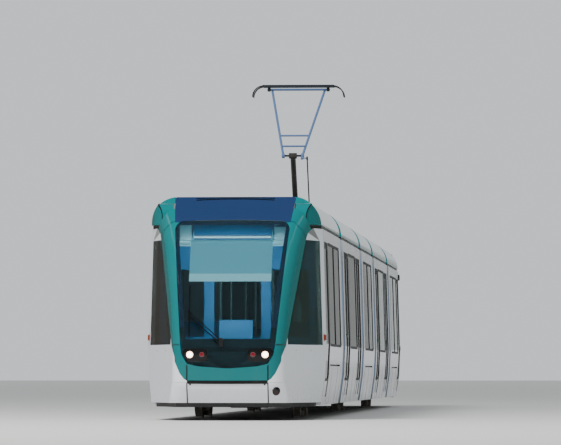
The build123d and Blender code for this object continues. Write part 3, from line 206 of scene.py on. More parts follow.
def dress_each(stem, places, *how):
    """Dress the CAD node of each place alike."""
    for place in places:
        dress(f"{stem}_{place}", *how)


def start(add_primitive, place=(0, 0, 0), turn=(0, 0, 0), stretch=(1, 1, 1), **shape):
    """Add a primitive with nothing else selected, stretch and turn it, and apply that to its mesh."""
    bpy.ops.object.select_all(action="DESELECT")
    add_primitive(location=place, rotation=turn, **shape)
    piece = bpy.context.object
    piece.scale = stretch
    bpy.ops.object.transform_apply(location=True, rotation=True, scale=True)
    return piece


def cylinder(radius, depth, vertices, place=(0, 0, 0), turn=(0, 0, 0)):
    return start(bpy.ops.mesh.primitive_cylinder_add, place, turn,
                 radius=radius, depth=depth, vertices=vertices)


def mode(kind):
    bpy.ops.object.mode_set(mode=kind)


def pick(piece, test):
    """Select the faces that pass a test on centre and normal, and leave the piece in edit mode."""
    mode("EDIT")
    bpy.ops.mesh.select_mode(type="FACE")
    bpy.ops.mesh.select_all(action="DESELECT")
    mode("OBJECT")
    for face in piece.data.polygons:
        face.select = test(face.center, face.normal)
    mode("EDIT")


def push(distance):
    """Extrude the selected faces along their normal."""
    bpy.ops.mesh.extrude_region_shrink_fatten(TRANSFORM_OT_shrink_fatten={"value": distance})


def stepped(piece, toward, *rounds):
    """Inset the faces that look one way and push them out or in, once for each pair of distances."""
    pick(piece, lambda centre, normal: normal.dot(Vector(toward)) > 0.9)
    for inset, depth in rounds:
        bpy.ops.mesh.inset(thickness=inset)
        push(depth)
    mode("OBJECT")


def select_only(piece):
    bpy.ops.object.select_all(action="DESELECT")
    piece.select_set(True)
    bpy.context.view_layer.objects.active = piece


def modified(piece, kind, **settings):
    """Give a piece a modifier and apply it."""
    select_only(piece)
    modifier = piece.modifiers.new("finish", kind)
    for label, value in settings.items():
        setattr(modifier, label, value)
    bpy.ops.object.modifier_apply(modifier="finish")
    return piece


def bevelled(piece, width, segments=2):
    return modified(piece, "BEVEL", width=width, segments=segments, limit_method="ANGLE")


def joined(pieces):
    select_only(pieces[0])
    for piece in pieces:
        piece.select_set(True)
    if len(pieces) > 1:
        bpy.ops.object.join()
    return pieces[0]


def copied(piece, matrix):
    """Copy with a mesh of its own, moved by a matrix; a mirrored one is turned right side out."""
    twin = piece.copy()
    twin.data = piece.data.copy()
    bpy.context.scene.collection.objects.link(twin)
    twin.data.transform(matrix)
    if matrix.determinant() < 0:
        twin.data.flip_normals()
    return twin


def moved(piece, x, y=0, z=0):
    return copied(piece, Matrix.Translation((x, y, z)))


def turned(piece, angle, axis="Z"):
    return copied(piece, Matrix.Rotation(angle, 4, axis))


def discard(*patterns):
    for pattern in patterns:
        bpy.data.objects.remove(pattern)


def mirrored(piece):
    """One piece of what was modelled on the left and its mirror image on the right."""
    return joined([piece, copied(piece, MIRROR)])


def finished(piece, name, material, angle):
    """Name a piece, smooth it and give it its material."""
    select_only(piece)
    bpy.ops.object.shade_smooth_by_angle(angle=angle)
    piece.name = name
    if material is not None:
        piece.data.materials.clear()
        piece.data.materials.append(material)
    return piece


def fitted(piece, name, material, body, angle=0.6):
    """Finish a piece and set it on its body."""
    finished(piece, name, material, angle)
    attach(piece, body)


# Turned steel: fine rings round the axle that the Object coordinates give, for treads.
turned_rings, rings_in, rings_out = new_group(
    "turned_rings", [("Axle X", "NodeSocketFloat", 0.0)], [("Height", "NodeSocketFloat")]
)
axes = object_axes(turned_rings)
along = math_node(turned_rings, "SUBTRACT", axes["X"], rings_in.outputs["Axle X"])
up = math_node(turned_rings, "SUBTRACT", axes["Z"], AXLE_HEIGHT)
squares = math_node(turned_rings, "MULTIPLY", along, along)
squares = math_node(turned_rings, "MULTIPLY_ADD", up, up, squares)
rings = math_node(turned_rings, "MULTIPLY", math_node(turned_rings, "SQRT", squares), RING_DENSITY)
turned_rings.links.new(math_node(turned_rings, "SINE", rings), rings_out.inputs["Height"])

wheel_paint = finish_material("wheel_paint", "3b3029", 0.7, film=0.7, top=0.8, bump=0.5)
axle_paint = finish_material("axle_paint", "4a4540", 0.6, film=0.8, top=0.8, bump=0.5)
cover_steel = finish_material("cover_steel", "6d6a66", 0.4, metallic=0.8, film=0.5, top=0.8, bump=0.3)


def wheel_finish(axle_x):
    """Bright tread and flange, axle, or painted web."""
    def choose(centre, normal):
        radius = hypot(centre.x - axle_x, centre.z - AXLE_HEIGHT)
        if radius > TYRE_INNER_RADIUS and abs(normal.y) < 0.8:
            return 0
        return 2 if radius < AXLE_RADIUS and abs(normal.y) < 0.9 else 1
    return choose


plate = cylinder(COVER_RADIUS, 0.014, 48, (0, WHEEL_FACE_Y + 0.006, 0), ALONG_Y)
stepped(plate, (0, 1, 0), (0.05, 0.012), (0.05, -0.006))
bevelled(plate, 0.003)
bolt = bevelled(cylinder(0.013, 0.014, 6, (BOLT_CIRCLE, WHEEL_FACE_Y + 0.016, 0), ALONG_Y), 0.0015, 1)
bolts = [turned(bolt, 2 * pi * number / COVER_BOLTS, "Y") for number in range(1, COVER_BOLTS)]
hub_cover = joined([plate, bolt] + bolts)
for number, axle_x in AXLE_X.items():
    tread_steel = finish_material(f"tread_steel_{number}", "a8a49c", 0.28, metallic=1.0, film=0.2, top=0.8)
    rings_node = tread_steel.node_tree.nodes.new("ShaderNodeGroup")
    rings_node.node_tree = turned_rings
    rings_node.inputs["Axle X"].default_value = axle_x
    bumped(tread_steel.node_tree, rings_node.outputs["Height"], 0.25, 0.001)
    dress(f"wheelset_{number}", [tread_steel, wheel_paint, axle_paint], wheel_finish(axle_x))
    covers = mirrored(moved(hub_cover, axle_x, 0, AXLE_HEIGHT))
    fitted(covers, f"hub_covers_{number}", cover_steel, f"wheelset_{number}")
discard(hub_cover)

# Bogies. Welded box frames with rubber springs, in dark paint under brake dust; each carries bolted
# axle box covers and a magnetic track brake on each side, hung from the cross beams over the rail.
BOGIE_X = {"front": 11.2, "centre": 0.0, "rear": -11.2}
BEAM_FACE_Y = 1.0
WHEELBASE_HALF = 0.8
BOX_BOLT_CIRCLE = 0.07
BRAKE_Y = 0.752
BRAKE_LENGTH = 0.82
HANGER_X = 0.22
COILS, COIL_PITCH = 7, 0.0155
bogie_paint = finish_material("bogie_paint", "2e2d2c", 0.6, film=0.9, top=0.8, bump=0.5)
motor_paint = finish_material("motor_paint", "4b5157", 0.5, film=0.8, top=0.8, bump=0.4)
spring_rubber = finish_material("spring_rubber", "141414", 0.75, film=0.5, bump=0.6, grain=220)
brake_iron = finish_material("brake_iron", "3a3431", 0.65, metallic=0.4, film=0.8, top=0.8, bump=0.7)


def bogie_finish(bogie_x):
    """Rubber springs on top of the side beams, motors between the wheels, or frame."""
    def choose(centre, normal):
        aside, along = abs(centre.y), abs(centre.x - bogie_x)
        if aside > 0.87 and centre.z > 0.44:
            return 2
        if aside < 0.29 and 0.289 < along < 0.70 and centre.z < 0.41:
            return 1
        return 0
    return choose


def cube(middle, size, turn=(0, 0, 0)):
    return start(bpy.ops.mesh.primitive_cube_add, middle, turn, size, size=1)


def torus(radius, tube, around, across, place=(0, 0, 0), turn=(0, 0, 0)):
    return start(bpy.ops.mesh.primitive_torus_add, place, turn, major_radius=radius, minor_radius=tube,
                 major_segments=around, minor_segments=across)


box_cover = cylinder(0.088, 0.014, 32, (0, BEAM_FACE_Y + 0.007, AXLE_HEIGHT), ALONG_Y)
stepped(box_cover, (0, 1, 0), (0.034, 0.01))
cover_parts = [bevelled(box_cover, 0.002)]
for number in range(4):
    angle = pi / 4 + number * pi / 2
    place = (BOX_BOLT_CIRCLE * cos(angle), BEAM_FACE_Y + 0.018, AXLE_HEIGHT + BOX_BOLT_CIRCLE * sin(angle))
    cover_parts.append(cylinder(0.009, 0.012, 6, place, ALONG_Y))
box_cover = joined(cover_parts)
box_covers = mirrored(joined([moved(box_cover, side * WHEELBASE_HALF) for side in (-1, 1)]))
shoe = cube((0, BRAKE_Y, 0.075), (BRAKE_LENGTH, 0.07, 0.07))
pick(shoe, lambda centre, normal: abs(normal.x) > 0.9)
push(0.03)
bpy.ops.transform.resize(value=(1, 0.8, 0.55))
mode("OBJECT")
brake_parts = [bevelled(shoe, 0.006)]
for hanger_x in (-HANGER_X, HANGER_X):
    spring = torus(0.022, 0.006, 20, 8, (hanger_x, BRAKE_Y, 0.132))
    brake_parts.append(spring)
    brake_parts += [moved(spring, 0, 0, COIL_PITCH * turn) for turn in range(1, COILS)]
    brake_parts.append(bevelled(cylinder(0.012, 0.138, 16, (hanger_x, BRAKE_Y, 0.18)), 0.002, 1))
brakes = mirrored(joined(brake_parts))
for name, bogie_x in BOGIE_X.items():
    dress(f"bogie_{name}", [bogie_paint, motor_paint, spring_rubber], bogie_finish(bogie_x))
    body = f"bogie_{name}"
    fitted(moved(box_covers, bogie_x), f"axle_box_covers_{name}", motor_paint, body)
    fitted(moved(brakes, bogie_x), f"track_brakes_{name}", brake_iron, body)
discard(box_cover, box_covers, brakes)

# Floors and the front valance. Aluminium floors black below, with speckled studded rubber laid over the
# top; the wheel boxes are lined in grey, and the valance is a dark moulding under the nose, made near-black
# with painted shade.
MODULES = ("front", "mid_front", "centre", "mid_rear", "rear")
ENDS = ("front", "rear")
NOSE_X = 14.3
VALANCE_TOP = 0.237
WALKWAY_LOW = 0.37
LINING_LOW, LINING_Y = 0.4, 1.23
underframe_black = finish_material("underframe_black", "121416", 0.6, film=0.15, top=0.7, bump=0.4)
# Near-black partly as painted shade: the valance is darkened to stand for the shadow under the nose.
valance_with_painted_shade = finish_material("valance_with_painted_shade", "121518", 0.6, film=0.08, top=0.6, bump=0.3)
lining_board = finish_material("lining_board", "8f969a", 0.55, film=0.1, top=3.0, bump=0.3, grain=300)
floor_rubber = finish_material("floor_rubber", "3f4448", 0.7, film=0.3, top=1.2, bump=0.5, grain=350)
tree = floor_rubber.node_tree
specks = tree.nodes.new("ShaderNodeTexVoronoi")
specks.inputs["Scale"].default_value = 90
tree.links.new(object_place(tree), specks.inputs["Vector"])
is_speck = math_node(tree, "LESS_THAN", specks.outputs["Distance"], 0.22)
tree.links.new(mix_colours(tree, is_speck, "3f4448", "7d858a"), tree.nodes["dusty"].inputs["Colour"])


def floor_finish(centre, normal):
    """Valance, walkway, lined wheel box, or underframe."""
    if abs(centre.x) > NOSE_X and centre.z < VALANCE_TOP:
        return 2
    if normal.z > 0.9 and centre.z > WALKWAY_LOW:
        return 1
    return 3 if centre.z > LINING_LOW and abs(centre.y) < LINING_Y else 0


dress_each("floor", MODULES, [underframe_black, floor_rubber, valance_with_painted_shade, lining_board], floor_finish)

# Body shells. Welded aluminium sides in a pale grey-white gloss, with a black rain gutter along the top
# edge, grey roof cases bolted to the deck, black rubber beads in the panel joints and grey boards inside.
# columns: height, how far out the side is there
SIDE_OUTLINE = [(0.215, 1.240), (0.670, 1.304), (1.125, 1.325), (2.825, 1.275), (2.90, 1.253)]
MODULE_ENDS = {"front": (9.3, 14.3), "mid_front": (2.75, 8.7), "centre": (-2.15, 2.15)}
PANEL_JOINTS = {"front": (9.9, 10.72, 12.35, 13.12), "mid_front": (4.5, 5.725, 6.95),
                "centre": (-1.45, 0.0, 1.45)}
PANEL_BEAD, END_BEAD = 0.003, 0.011
GUTTER_LOW = 2.827
DECK_LOW, DECK_Y = 2.69, 1.2
SKIRT_LOW, PORTAL_TOP = 0.22, 2.83
BELT_GROOVE = (0.795, 0.823)
SKIN = 0.045
TURN = Matrix.Rotation(pi, 4, "Z")
body_paint = finish_material("body_paint", "e6e9ee", 0.2, coat=0.4, top=0.7)
roof_grey = finish_material("roof_grey", "74797c", 0.6, film=0.8, top=4.0, bump=0.4, grain=200)
trim_black = finish_material("trim_black", "0d0f11", 0.45, film=0.06, top=1.2, bump=0.1, grain=400)


def side_y(height):
    """How far out the side wall is at a height."""
    for (low_z, low_y), (high_z, high_y) in zip(SIDE_OUTLINE, SIDE_OUTLINE[1:]):
        if height <= high_z:
            return low_y + (high_y - low_y) * (height - low_z) / (high_z - low_z)
    return SIDE_OUTLINE[-1][1]


def shell_finish(centre, normal):
    """Painted skin, lining, roof, or black gutter and groove."""
    aside = abs(centre.y)
    if centre.z > GUTTER_LOW and aside > 1.0:
        return 3
    if centre.z > DECK_LOW and aside < DECK_Y:
        return 2
    if BELT_GROOVE[0] < centre.z < BELT_GROOVE[1] and 1.27 < aside < side_y(centre.z) - 0.002:
        return 3
    if aside > 1.0 and normal.y * centre.y > 0.25 and aside > side_y(max(SKIRT_LOW, centre.z)) - SKIN:
        return 0
    if abs(centre.x) > NOSE_X and centre.z < PORTAL_TOP:
        return 0 if normal.y * centre.y > 0 or normal.z < -0.3 or normal.x * centre.x > 0.3 else 1
    return 0 if centre.z < SKIRT_LOW and normal.z < -0.5 else 1


def bead(points, radius):
    """Round rubber bead along a path."""
    curve = bpy.data.curves.new("bead", "CURVE")
    curve.dimensions = "3D"
    curve.bevel_depth = radius
    curve.bevel_resolution = 1
    curve.use_fill_caps = True
    spline = curve.splines.new("POLY")
    spline.points.add(len(points) - 1)
    for point, place in zip(spline.points, points):
        point.co = (*place, 1)
    piece = bpy.data.objects.new("bead", curve)
    bpy.context.scene.collection.objects.link(piece)
    select_only(piece)
    bpy.ops.object.convert(target="MESH")
    return bpy.context.object


def side_bead(x, low_z, high_z, radius, sunk):
    """Upright bead in a joint of the left side."""
    heights = [low_z] + [z for z, _ in SIDE_OUTLINE if low_z < z < high_z] + [high_z]
    return bead([(x, side_y(z) - sunk, z) for z in heights], radius)


def with_twin(module):
    """A module and the one that answers it behind the centre, which stands alone."""
    return [module] if module == "centre" else [module, module.replace("front", "rear")]


def fitted_pair(piece, stem, material, module="front", angle=0.6):
    """Fit a copy turned half round on the module's twin, and the piece itself on the module."""
    for twin in with_twin(module)[1:]:
        fitted(copied(piece, TURN), f"{stem}_{twin}", material, twin, angle)
    fitted(piece, f"{stem}_{module}", material, module, angle)


dress_each("shell", MODULES, [body_paint, lining_board, roof_grey, trim_black], shell_finish)
for module, (rear_x, front_x) in MODULE_ENDS.items():
    strips = [side_bead(x, 0.222, 0.79, PANEL_BEAD, 0.001) for x in PANEL_JOINTS[module]]
    strips += [side_bead(x, 0.24, 2.82, END_BEAD, 0.009) for x in (rear_x + 0.012, front_x - 0.012)]
    fitted_pair(mirrored(joined(strips)), "joint_beads", trim_black, module)

# Windows and doors. Dark toughened panes bonded in black rubber frames with rounded corners, and plug
# doors with one tall pane in each leaf, a rubber along each leaf's edge and a round green-lit button.
RUBBER_WIDTH, RUBBER_THICKNESS = 0.040, 0.007
RUBBER_LAP = 0.014
OUTER_RADIUS = 0.062
SILL, LINTEL = 1.105, 2.645
# columns: centre x, width
WINDOWS = {
    "front": [(10.7, 1.56), (12.32, 1.56)],
    "mid_front": [(5.725, 2.35)],
    "centre": [(-0.815, 1.57), (0.815, 1.57)],
}
# columns: centre x, width of the opening, leaves
DOORS = {"front": [(13.66, 0.9, 1)], "mid_front": [(3.76, 1.36, 2), (7.69, 1.36, 2)]}
DOOR_LOW, DOOR_FRAME = 0.336, 0.062
DOOR_GLASS_LOW, DOOR_GLASS_HIGH = 0.585, 2.582
HEAD_Z = 2.64
BUTTON_Z, BUTTON_OFFSET = 1.30, 0.031
BUTTON_RADIUS, BUTTON_FACE_RADIUS = 0.034, 0.0255


def glass_material(name, tint, rough):
    """Tinted glass with a faint waviness that Object coordinates give."""
    settings = {"Base Color": tint, "Roughness": rough, "IOR": 1.45, "Transmission Weight": 1.0}
    material = new_material(name, settings)
    tree = material.node_tree
    bumped(tree, noise_node(tree, object_place(tree), 2.2, 1), 0.06, 0.02)
    return material


def glow(material, colour, strength):
    """Let a material shine by itself."""
    shader = material.node_tree.nodes["Principled BSDF"]
    feed(material.node_tree, colour, shader.inputs["Emission Color"])
    shader.inputs["Emission Strength"].default_value = strength


def select_all():
    bpy.ops.mesh.select_all(action="SELECT")


def cut(place, normal):
    """Cut the piece in edit mode along a plane."""
    select_all()
    bpy.ops.mesh.bisect(plane_co=place, plane_no=normal)


def window_rubber(centre_x, width, low_z, high_z, out):
    """Rounded ring of rubber round an opening in the left side, bent to the side's outline."""
    half_x, half_z = width / 2 + RUBBER_LAP, (high_z - low_z) / 2 + RUBBER_LAP
    middle = (centre_x, 0, (low_z + high_z) / 2)
    ring = start(bpy.ops.mesh.primitive_plane_add, middle, (-pi / 2, 0, 0), (half_x, half_z, 1), size=2)
    mode("EDIT")
    bpy.ops.mesh.select_mode(type="VERT")
    select_all()
    bpy.ops.mesh.bevel(offset=OUTER_RADIUS, segments=5, affect="VERTICES")
    bpy.ops.mesh.select_mode(type="FACE")
    select_all()
    bpy.ops.mesh.inset(thickness=RUBBER_WIDTH)
    bpy.ops.mesh.delete(type="FACE")
    for bend_z, _ in SIDE_OUTLINE[1:3]:
        if low_z < bend_z < high_z:
            cut((0, 0, bend_z), (0, 0, 1))
    mode("OBJECT")
    for corner in ring.data.vertices:
        corner.co.y = side_y(corner.co.z) + out
    return modified(ring, "SOLIDIFY", thickness=RUBBER_THICKNESS, offset=-1)


window_glass = glass_material("window_glass", "5a6a68", 0.02)
door_rubber = finish_material("door_rubber", "17191b", 0.55, bump=0.2, grain=300)
button_ring = finish_material("button_ring", "b9bec2", 0.3, metallic=0.9, film=0.1)
button_green = finish_material("button_green", "2f8f4e", 0.3, film=0.1)
glow(button_green, "35c060", 0.6)


def leaf_places(door_x, width, leaves):
    """Centres of a door's leaves."""
    return [door_x + (leaf - (leaves - 1) / 2) * (width / leaves) for leaf in range(leaves)]


def door_finish(doors):
    """Pane, black frame round it, or painted foot of the leaf."""
    def choose(centre, normal):
        for door_x, width, leaves in doors:
            reach = width / leaves / 2 - DOOR_FRAME + 0.0002
            for leaf_x in leaf_places(door_x, width, leaves):
                in_pane = DOOR_GLASS_LOW < centre.z < DOOR_GLASS_HIGH + 0.001
                if in_pane and abs(abs(centre.x) - leaf_x) < reach:
                    return 1
        return 0 if centre.z < 0.60 and abs(normal.x) < 0.5 else 2
    return choose


dress_each("glass", MODULES, [window_glass])
for module, doors in DOORS.items():
    dress_each("doors", with_twin(module), [body_paint, window_glass, door_rubber], door_finish(doors))
button = cylinder(BUTTON_RADIUS, 0.01, 32, (0, side_y(BUTTON_Z) - 0.003, BUTTON_Z), (-pi / 2, 0, 0))
stepped(button, (0, 1, 0), (0.008, -0.002), (0.003, 0.003))
bevelled(button, 0.0012)
button.data.materials.append(button_ring)
button.data.materials.append(button_green)
for face in button.data.polygons:
    inner = hypot(face.center.x, face.center.z - BUTTON_Z) < BUTTON_FACE_RADIUS
    face.material_index = 1 if inner and face.normal.y > 0 else 0
for module, windows in WINDOWS.items():
    rubbers = [window_rubber(x, width, SILL, LINTEL, 0.002) for x, width in windows]
    buttons = []
    for door_x, width, leaves in DOORS.get(module, []):
        edges = (door_x - width / 2, door_x + width / 2)
        for side in (-1, 1):
            rubbers.append(side_bead(door_x + side * (width / 2 - 0.004), DOOR_LOW, LINTEL, 0.010, 0.008))
        rubbers.append(bead([(x, side_y(HEAD_Z) - 0.004, HEAD_Z) for x in edges], 0.009))
        if leaves == 2:
            rubbers.append(side_bead(door_x, DOOR_LOW, LINTEL, 0.013, 0.014))
        for leaf_x in leaf_places(door_x, width, leaves):
            pane_width = width / leaves - 2 * DOOR_FRAME
            rubbers.append(window_rubber(leaf_x, pane_width, DOOR_GLASS_LOW, DOOR_GLASS_HIGH, -0.006))
        button_x = door_x + (width / 2 - BUTTON_OFFSET if leaves == 1 else BUTTON_OFFSET)
        buttons.append(moved(button, button_x))
    fitted_pair(mirrored(joined(rubbers)), "window_rubbers", door_rubber, module)
    if buttons:
        fitted_pair(mirrored(joined(buttons)), "door_buttons", None, module)
discard(button)

# Saloon and cab fittings. Moulded seat shells on grey pedestals with thin fabric inlays, steel grab
# poles, a blue partition with panes, a blue moulded desk, and behind the screen the sign and a blind of
# thin pale fabric; the blind glows by itself, painted light that stands in for daylight falling on it.
POLE_X = {"front": (10.12, 12.28), "mid_front": (4.56, 6.89), "centre": (-1.06, 1.06)}
POLE_Y, POLE_RADIUS = 0.4, 0.02
PARTITION_X = (14.16, 14.22)
SEAT_LOW = 0.76
DESK_REAR, DESK_TOP = 15.05, 1.2
SIGN_REAR, SIGN_LOW = 14.9, 2.705
BLIND_REAR, BLIND_LOW = 15.0, 2.0
HEM_Z = 2.135
seat_blue = finish_material("seat_blue", "2a6d9c", 0.6, film=0.1, top=3.0, bump=0.6, grain=500)
pole_steel = finish_material("pole_steel", "c9ccce", 0.25, metallic=1.0, film=0.05, top=3.0)
desk_blue = finish_material("desk_blue", "1a86cc", 0.5, film=0.05, top=3.0, bump=0.4, grain=420)
blind_fabric_painted_glow = finish_material("blind_fabric_painted_glow", "bfe0e0", 0.8, film=0.05, top=4.0, bump=0.5, grain=700)
sign_blue = finish_material("sign_blue", "1f6494", 0.35, film=0.05, top=4.0)
tree = blind_fabric_painted_glow.node_tree
hem = math_node(tree, "LESS_THAN", object_axes(tree)["Z"], HEM_Z)
hem_colour_and_glow = mix_colours(tree, hem, "8fc3ce", "d5eff0")
tree.links.new(hem_colour_and_glow, tree.nodes["dusty"].inputs["Colour"])
# The blind glows by itself: painted light that stands in for daylight on the fabric.
glow(blind_fabric_painted_glow, hem_colour_and_glow, 0.5)


def fitting_finish(poles):
    """Pole, desk, sign, blind, seat or partition, or grey pedestal."""
    def choose(centre, normal):
        along, aside = abs(centre.x), abs(centre.y)
        if abs(aside - POLE_Y) < POLE_RADIUS and any(abs(along - abs(x)) < POLE_RADIUS for x in poles):
            return 1
        if along > DESK_REAR and centre.z < DESK_TOP:
            return 3
        if along > SIGN_REAR and centre.z > SIGN_LOW:
            return 5
        if along > BLIND_REAR and centre.z > BLIND_LOW:
            return 4
        return 0 if PARTITION_X[0] < along < PARTITION_X[1] or centre.z > SEAT_LOW else 2
    return choose


interior_finishes = [seat_blue, pole_steel, lining_board, desk_blue, blind_fabric_painted_glow, sign_blue]
for module, poles in POLE_X.items():
    dress_each("interior", with_twin(module), interior_finishes, fitting_finish(poles))

# Bellows. Coated pale blue-grey fabric pleated in deep folds over the sides and roof of each gangway,
# sewn to a frame on each module; each is built once, at rest, and stays fixed in place.
BELLOWS_HALF = 0.296
FOLDS = 8
FOLD_SCALE = (1, 0.963, 0.984)
BELLOWS_TOP, BELLOWS_CORNER, BELLOWS_SUNK = 2.782, 0.11, 0.014
FOLD_HEIGHTS = (0.275, 0.42, 0.56, 0.67, 0.82, 0.97, 1.125, 1.4, 1.7, 2.0, 2.3, 2.6)
# columns: joint x, the module behind it, the module before it
GANGWAYS = {1: (9.0, "mid_front", "front"), 2: (2.45, "centre", "mid_front"),
            3: (-2.45, "mid_rear", "centre"), 4: (-9.0, "rear", "mid_rear")}
bellows_fabric = finish_material("bellows_fabric", "8fa4c2", 0.9, film=0.35, top=1.0, bump=0.7, grain=900)
left_half = [(side_y(z) - BELLOWS_SUNK, z) for z in FOLD_HEIGHTS]
left_half += [(1.262 - BELLOWS_CORNER * (1 - cos(a)), 2.672 + BELLOWS_CORNER * sin(a))
              for a in (0.4, 0.8, 1.2)]
left_half += [(y, BELLOWS_TOP) for y in (1.06, 0.7, 0.35, 0.0)]
loop = left_half + [(-y, z) for y, z in left_half[-2::-1]]
half_fold = 2 * BELLOWS_HALF / (2 * FOLDS)
fabric = bead([(-BELLOWS_HALF, y, z) for y, z in loop], 0.0)
mode("EDIT")
bpy.ops.mesh.select_mode(type="EDGE")
select_all()
for step in range(1, 2 * FOLDS + 1):
    bpy.ops.mesh.extrude_region_move(TRANSFORM_OT_translate={"value": (half_fold, 0, 0)})
    scale = FOLD_SCALE if step % 2 else tuple(1 / value for value in FOLD_SCALE)
    bpy.ops.transform.resize(value=scale, center_override=(-BELLOWS_HALF + step * half_fold, 0, 0))
mode("OBJECT")
modified(fabric, "SUBSURF", levels=1, render_levels=1)
modified(fabric, "SOLIDIFY", thickness=0.004, offset=-1)
mode("EDIT")
select_all()
bpy.ops.mesh.normals_make_consistent(inside=False)
mode("OBJECT")
for number, (joint_x, behind, before) in GANGWAYS.items():
    folds = moved(fabric, joint_x)
    finished(folds, f"pleated_bellows_{number}", bellows_fabric, 1.2)
    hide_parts(f"bellows_{number}")
    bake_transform(folds)
discard(fabric)

# Roof. Glass-fibre fairings in deep gloss teal on both sides, and between them the equipment cases:
# each case has louvred sides and guarded fans in its lid.
TEAL = "006b6d"
# columns: centre x, length, top height, fans
ROOF_CASES = {
    "front": [(10.5, 1.9, 3.205, 2), (12.8, 1.9, 3.165, 2)],
    "mid_front": [(4.45, 2.3, 3.205, 3), (7.15, 2.2, 3.135, 2)],
    "centre": [(1.56, 0.9, 3.135, 1)],
}
CASE_SIDE_Y = 0.675
SLATS, SLAT_Z, SLAT_PITCH = 5, 2.88, 0.042
FAN_RADIUS, FAN_PITCH = 0.25, 0.66
BLADE_X, BLADE_Z, BLADE_TILT = 0.135, 0.009, 0.12
teal_paint = finish_material("teal_paint", TEAL, 0.16, coat=0.5, film=0.04, top=4.0)
fan_black = finish_material("fan_black", "1a1c1e", 0.5, film=0.5, top=4.0)
guard_steel = finish_material("guard_steel", "9a9fa2", 0.4, metallic=0.8, film=0.4, top=4.0)
dress_each("covers", MODULES, [teal_paint])


def cut_away(piece, test):
    """Delete the faces that pass a test, and leave the piece in edit mode."""
    pick(piece, test)
    bpy.ops.mesh.delete(type="FACE")


guard_parts = [torus(radius, 0.004, 36, 5, (0, 0, 0.022))
               for radius in (0.06, 0.105, 0.15, 0.195, FAN_RADIUS - 0.008)]
bar = bevelled(cube((0, 0, 0.014), (2 * FAN_RADIUS - 0.02, 0.012, 0.008)), 0.002, 1)
guard_parts += [bar] + [turned(bar, number * pi / 3) for number in (1, 2)]
rim = cylinder(FAN_RADIUS, 0.022, 40, (0, 0, 0.011))
cut_away(rim, lambda centre, normal: abs(normal.z) > 0.9)
mode("OBJECT")
modified(rim, "SOLIDIFY", thickness=0.012)
guard = joined([rim] + guard_parts)
fan_parts = [cylinder(FAN_RADIUS - 0.01, 0.004, 36, (0, 0, 0.003))]
blade = cube((BLADE_X, 0, BLADE_Z), (0.17, 0.075, 0.002), (BLADE_TILT, 0, 0))
fan_parts += [bevelled(turned(blade, pi * number / 3), 0.0006, 1) for number in range(6)]
discard(blade)
fan_parts.append(bevelled(cylinder(0.05, 0.016, 24, (0, 0, 0.01)), 0.003))
fan = joined(fan_parts)
for module, cases in ROOF_CASES.items():
    fans, guards = [], []
    for case_x, length, top_z, count in cases:
        for number in range(count):
            fan_x = case_x + (number - (count - 1) / 2) * FAN_PITCH
            fans.append(moved(fan, fan_x, 0, top_z))
            guards.append(moved(guard, fan_x, 0, top_z))
        slat = bevelled(cube((case_x, CASE_SIDE_Y + 0.006, SLAT_Z), (length - 0.3, 0.014, 0.022)), 0.004, 1)
        slats = [slat] + [moved(slat, 0, 0, SLAT_PITCH * row) for row in range(1, SLATS)]
        guards += slats + [copied(piece, MIRROR) for piece in slats]
    fitted_pair(joined(fans), "roof_fans", fan_black, module)
    fitted_pair(joined(guards), "fan_guards", guard_steel, module)
discard(fan, guard)

# Mask and cap round the windscreen. Glass-fibre mouldings in the same teal, with a dark blue panel over
# the screen as wide as the glass, black beads in the joints, and black beads of painted shade in two thin
# louvre slots near its crest, in the gap along the mask's foot over the bumper and in the groove on each
# fairing.
VISOR_BLUE = "1a3156"
VISOR_HALF, VISOR_LOW, VISOR_FLARE = 0.85, 2.9, 0.12
# columns: height at the middle, height at the ends, half width, radius
LOUVRES = [(3.283, 3.271, 0.578, 0.009), (3.262, 3.243, 0.575, 0.011)]
# columns: y, z
CAP_JOINT = [(0.859, 2.917), (0.905, 2.899), (0.961, 2.839), (1.003, 2.795), (1.038, 2.747), (1.058, 2.700),
             (1.067, 2.650)]
SEAM_Y = 0.587
CROSS_JOINT_Z = 1.0975
FAIRING_GROOVE_X, FAIRING_GROOVE_Z, FAIRING_GROOVE_RADIUS = 14.694, 2.995, 0.2
visor_area, area_in, area_out = new_group(
    "visor_area",
    [("Half width", "NodeSocketFloat", VISOR_HALF), ("Bottom", "NodeSocketFloat", VISOR_LOW)],
    [("Mask", "NodeSocketFloat")],
)
axes = object_axes(visor_area)
aside = math_node(visor_area, "ABSOLUTE", axes["Y"])
lean = math_node(visor_area, "SUBTRACT", axes["Z"], area_in.outputs["Bottom"])
edge = math_node(visor_area, "MULTIPLY_ADD", lean, VISOR_FLARE, area_in.outputs["Half width"])
within = math_node(visor_area, "LESS_THAN", aside, edge)
above = math_node(visor_area, "GREATER_THAN", axes["Z"], area_in.outputs["Bottom"])
visor_area.links.new(math_node(visor_area, "MULTIPLY", within, above), area_out.inputs["Mask"])
mask_paint = finish_material("mask_paint", TEAL, 0.16, coat=0.5, film=0.04, top=4.0)
tree = mask_paint.node_tree
visor = tree.nodes.new("ShaderNodeGroup")
visor.node_tree = visor_area
two_tone = mix_colours(tree, visor.outputs["Mask"], TEAL, VISOR_BLUE)
tree.links.new(two_tone, tree.nodes["dusty"].inputs["Colour"])
dress_each("mask", ENDS, [mask_paint])
bpy.context.view_layer.update()


def met(names, origin, direction, lift):
    """First place that a ray meets on these nodes, and the surface's normal there."""
    for name in names:
        hit, place, normal, _ = nodes[name].ray_cast(Vector(origin), Vector(direction))
        if hit:
            return place + lift * normal, normal
    raise ValueError(f"nothing of {names} lies before {origin}")


def on_front(y, z, names=("mask_front", "shell_front", "glass_front"), lift=0.0):
    """Place on the nose that is seen from the front at y and z, and the surface's normal there."""
    return met(names, (17, y, z), (-1, 0, 0), lift)


def on_flank(x, z, name, lift=0.0):
    """Place on the left flank of the nose at x and z."""
    return met((name,), (x, 2, z), (0, -1, 0), lift)[0]


def steps(first, last, count):
    return [first + (last - first) * step / count for step in range(count + 1)]
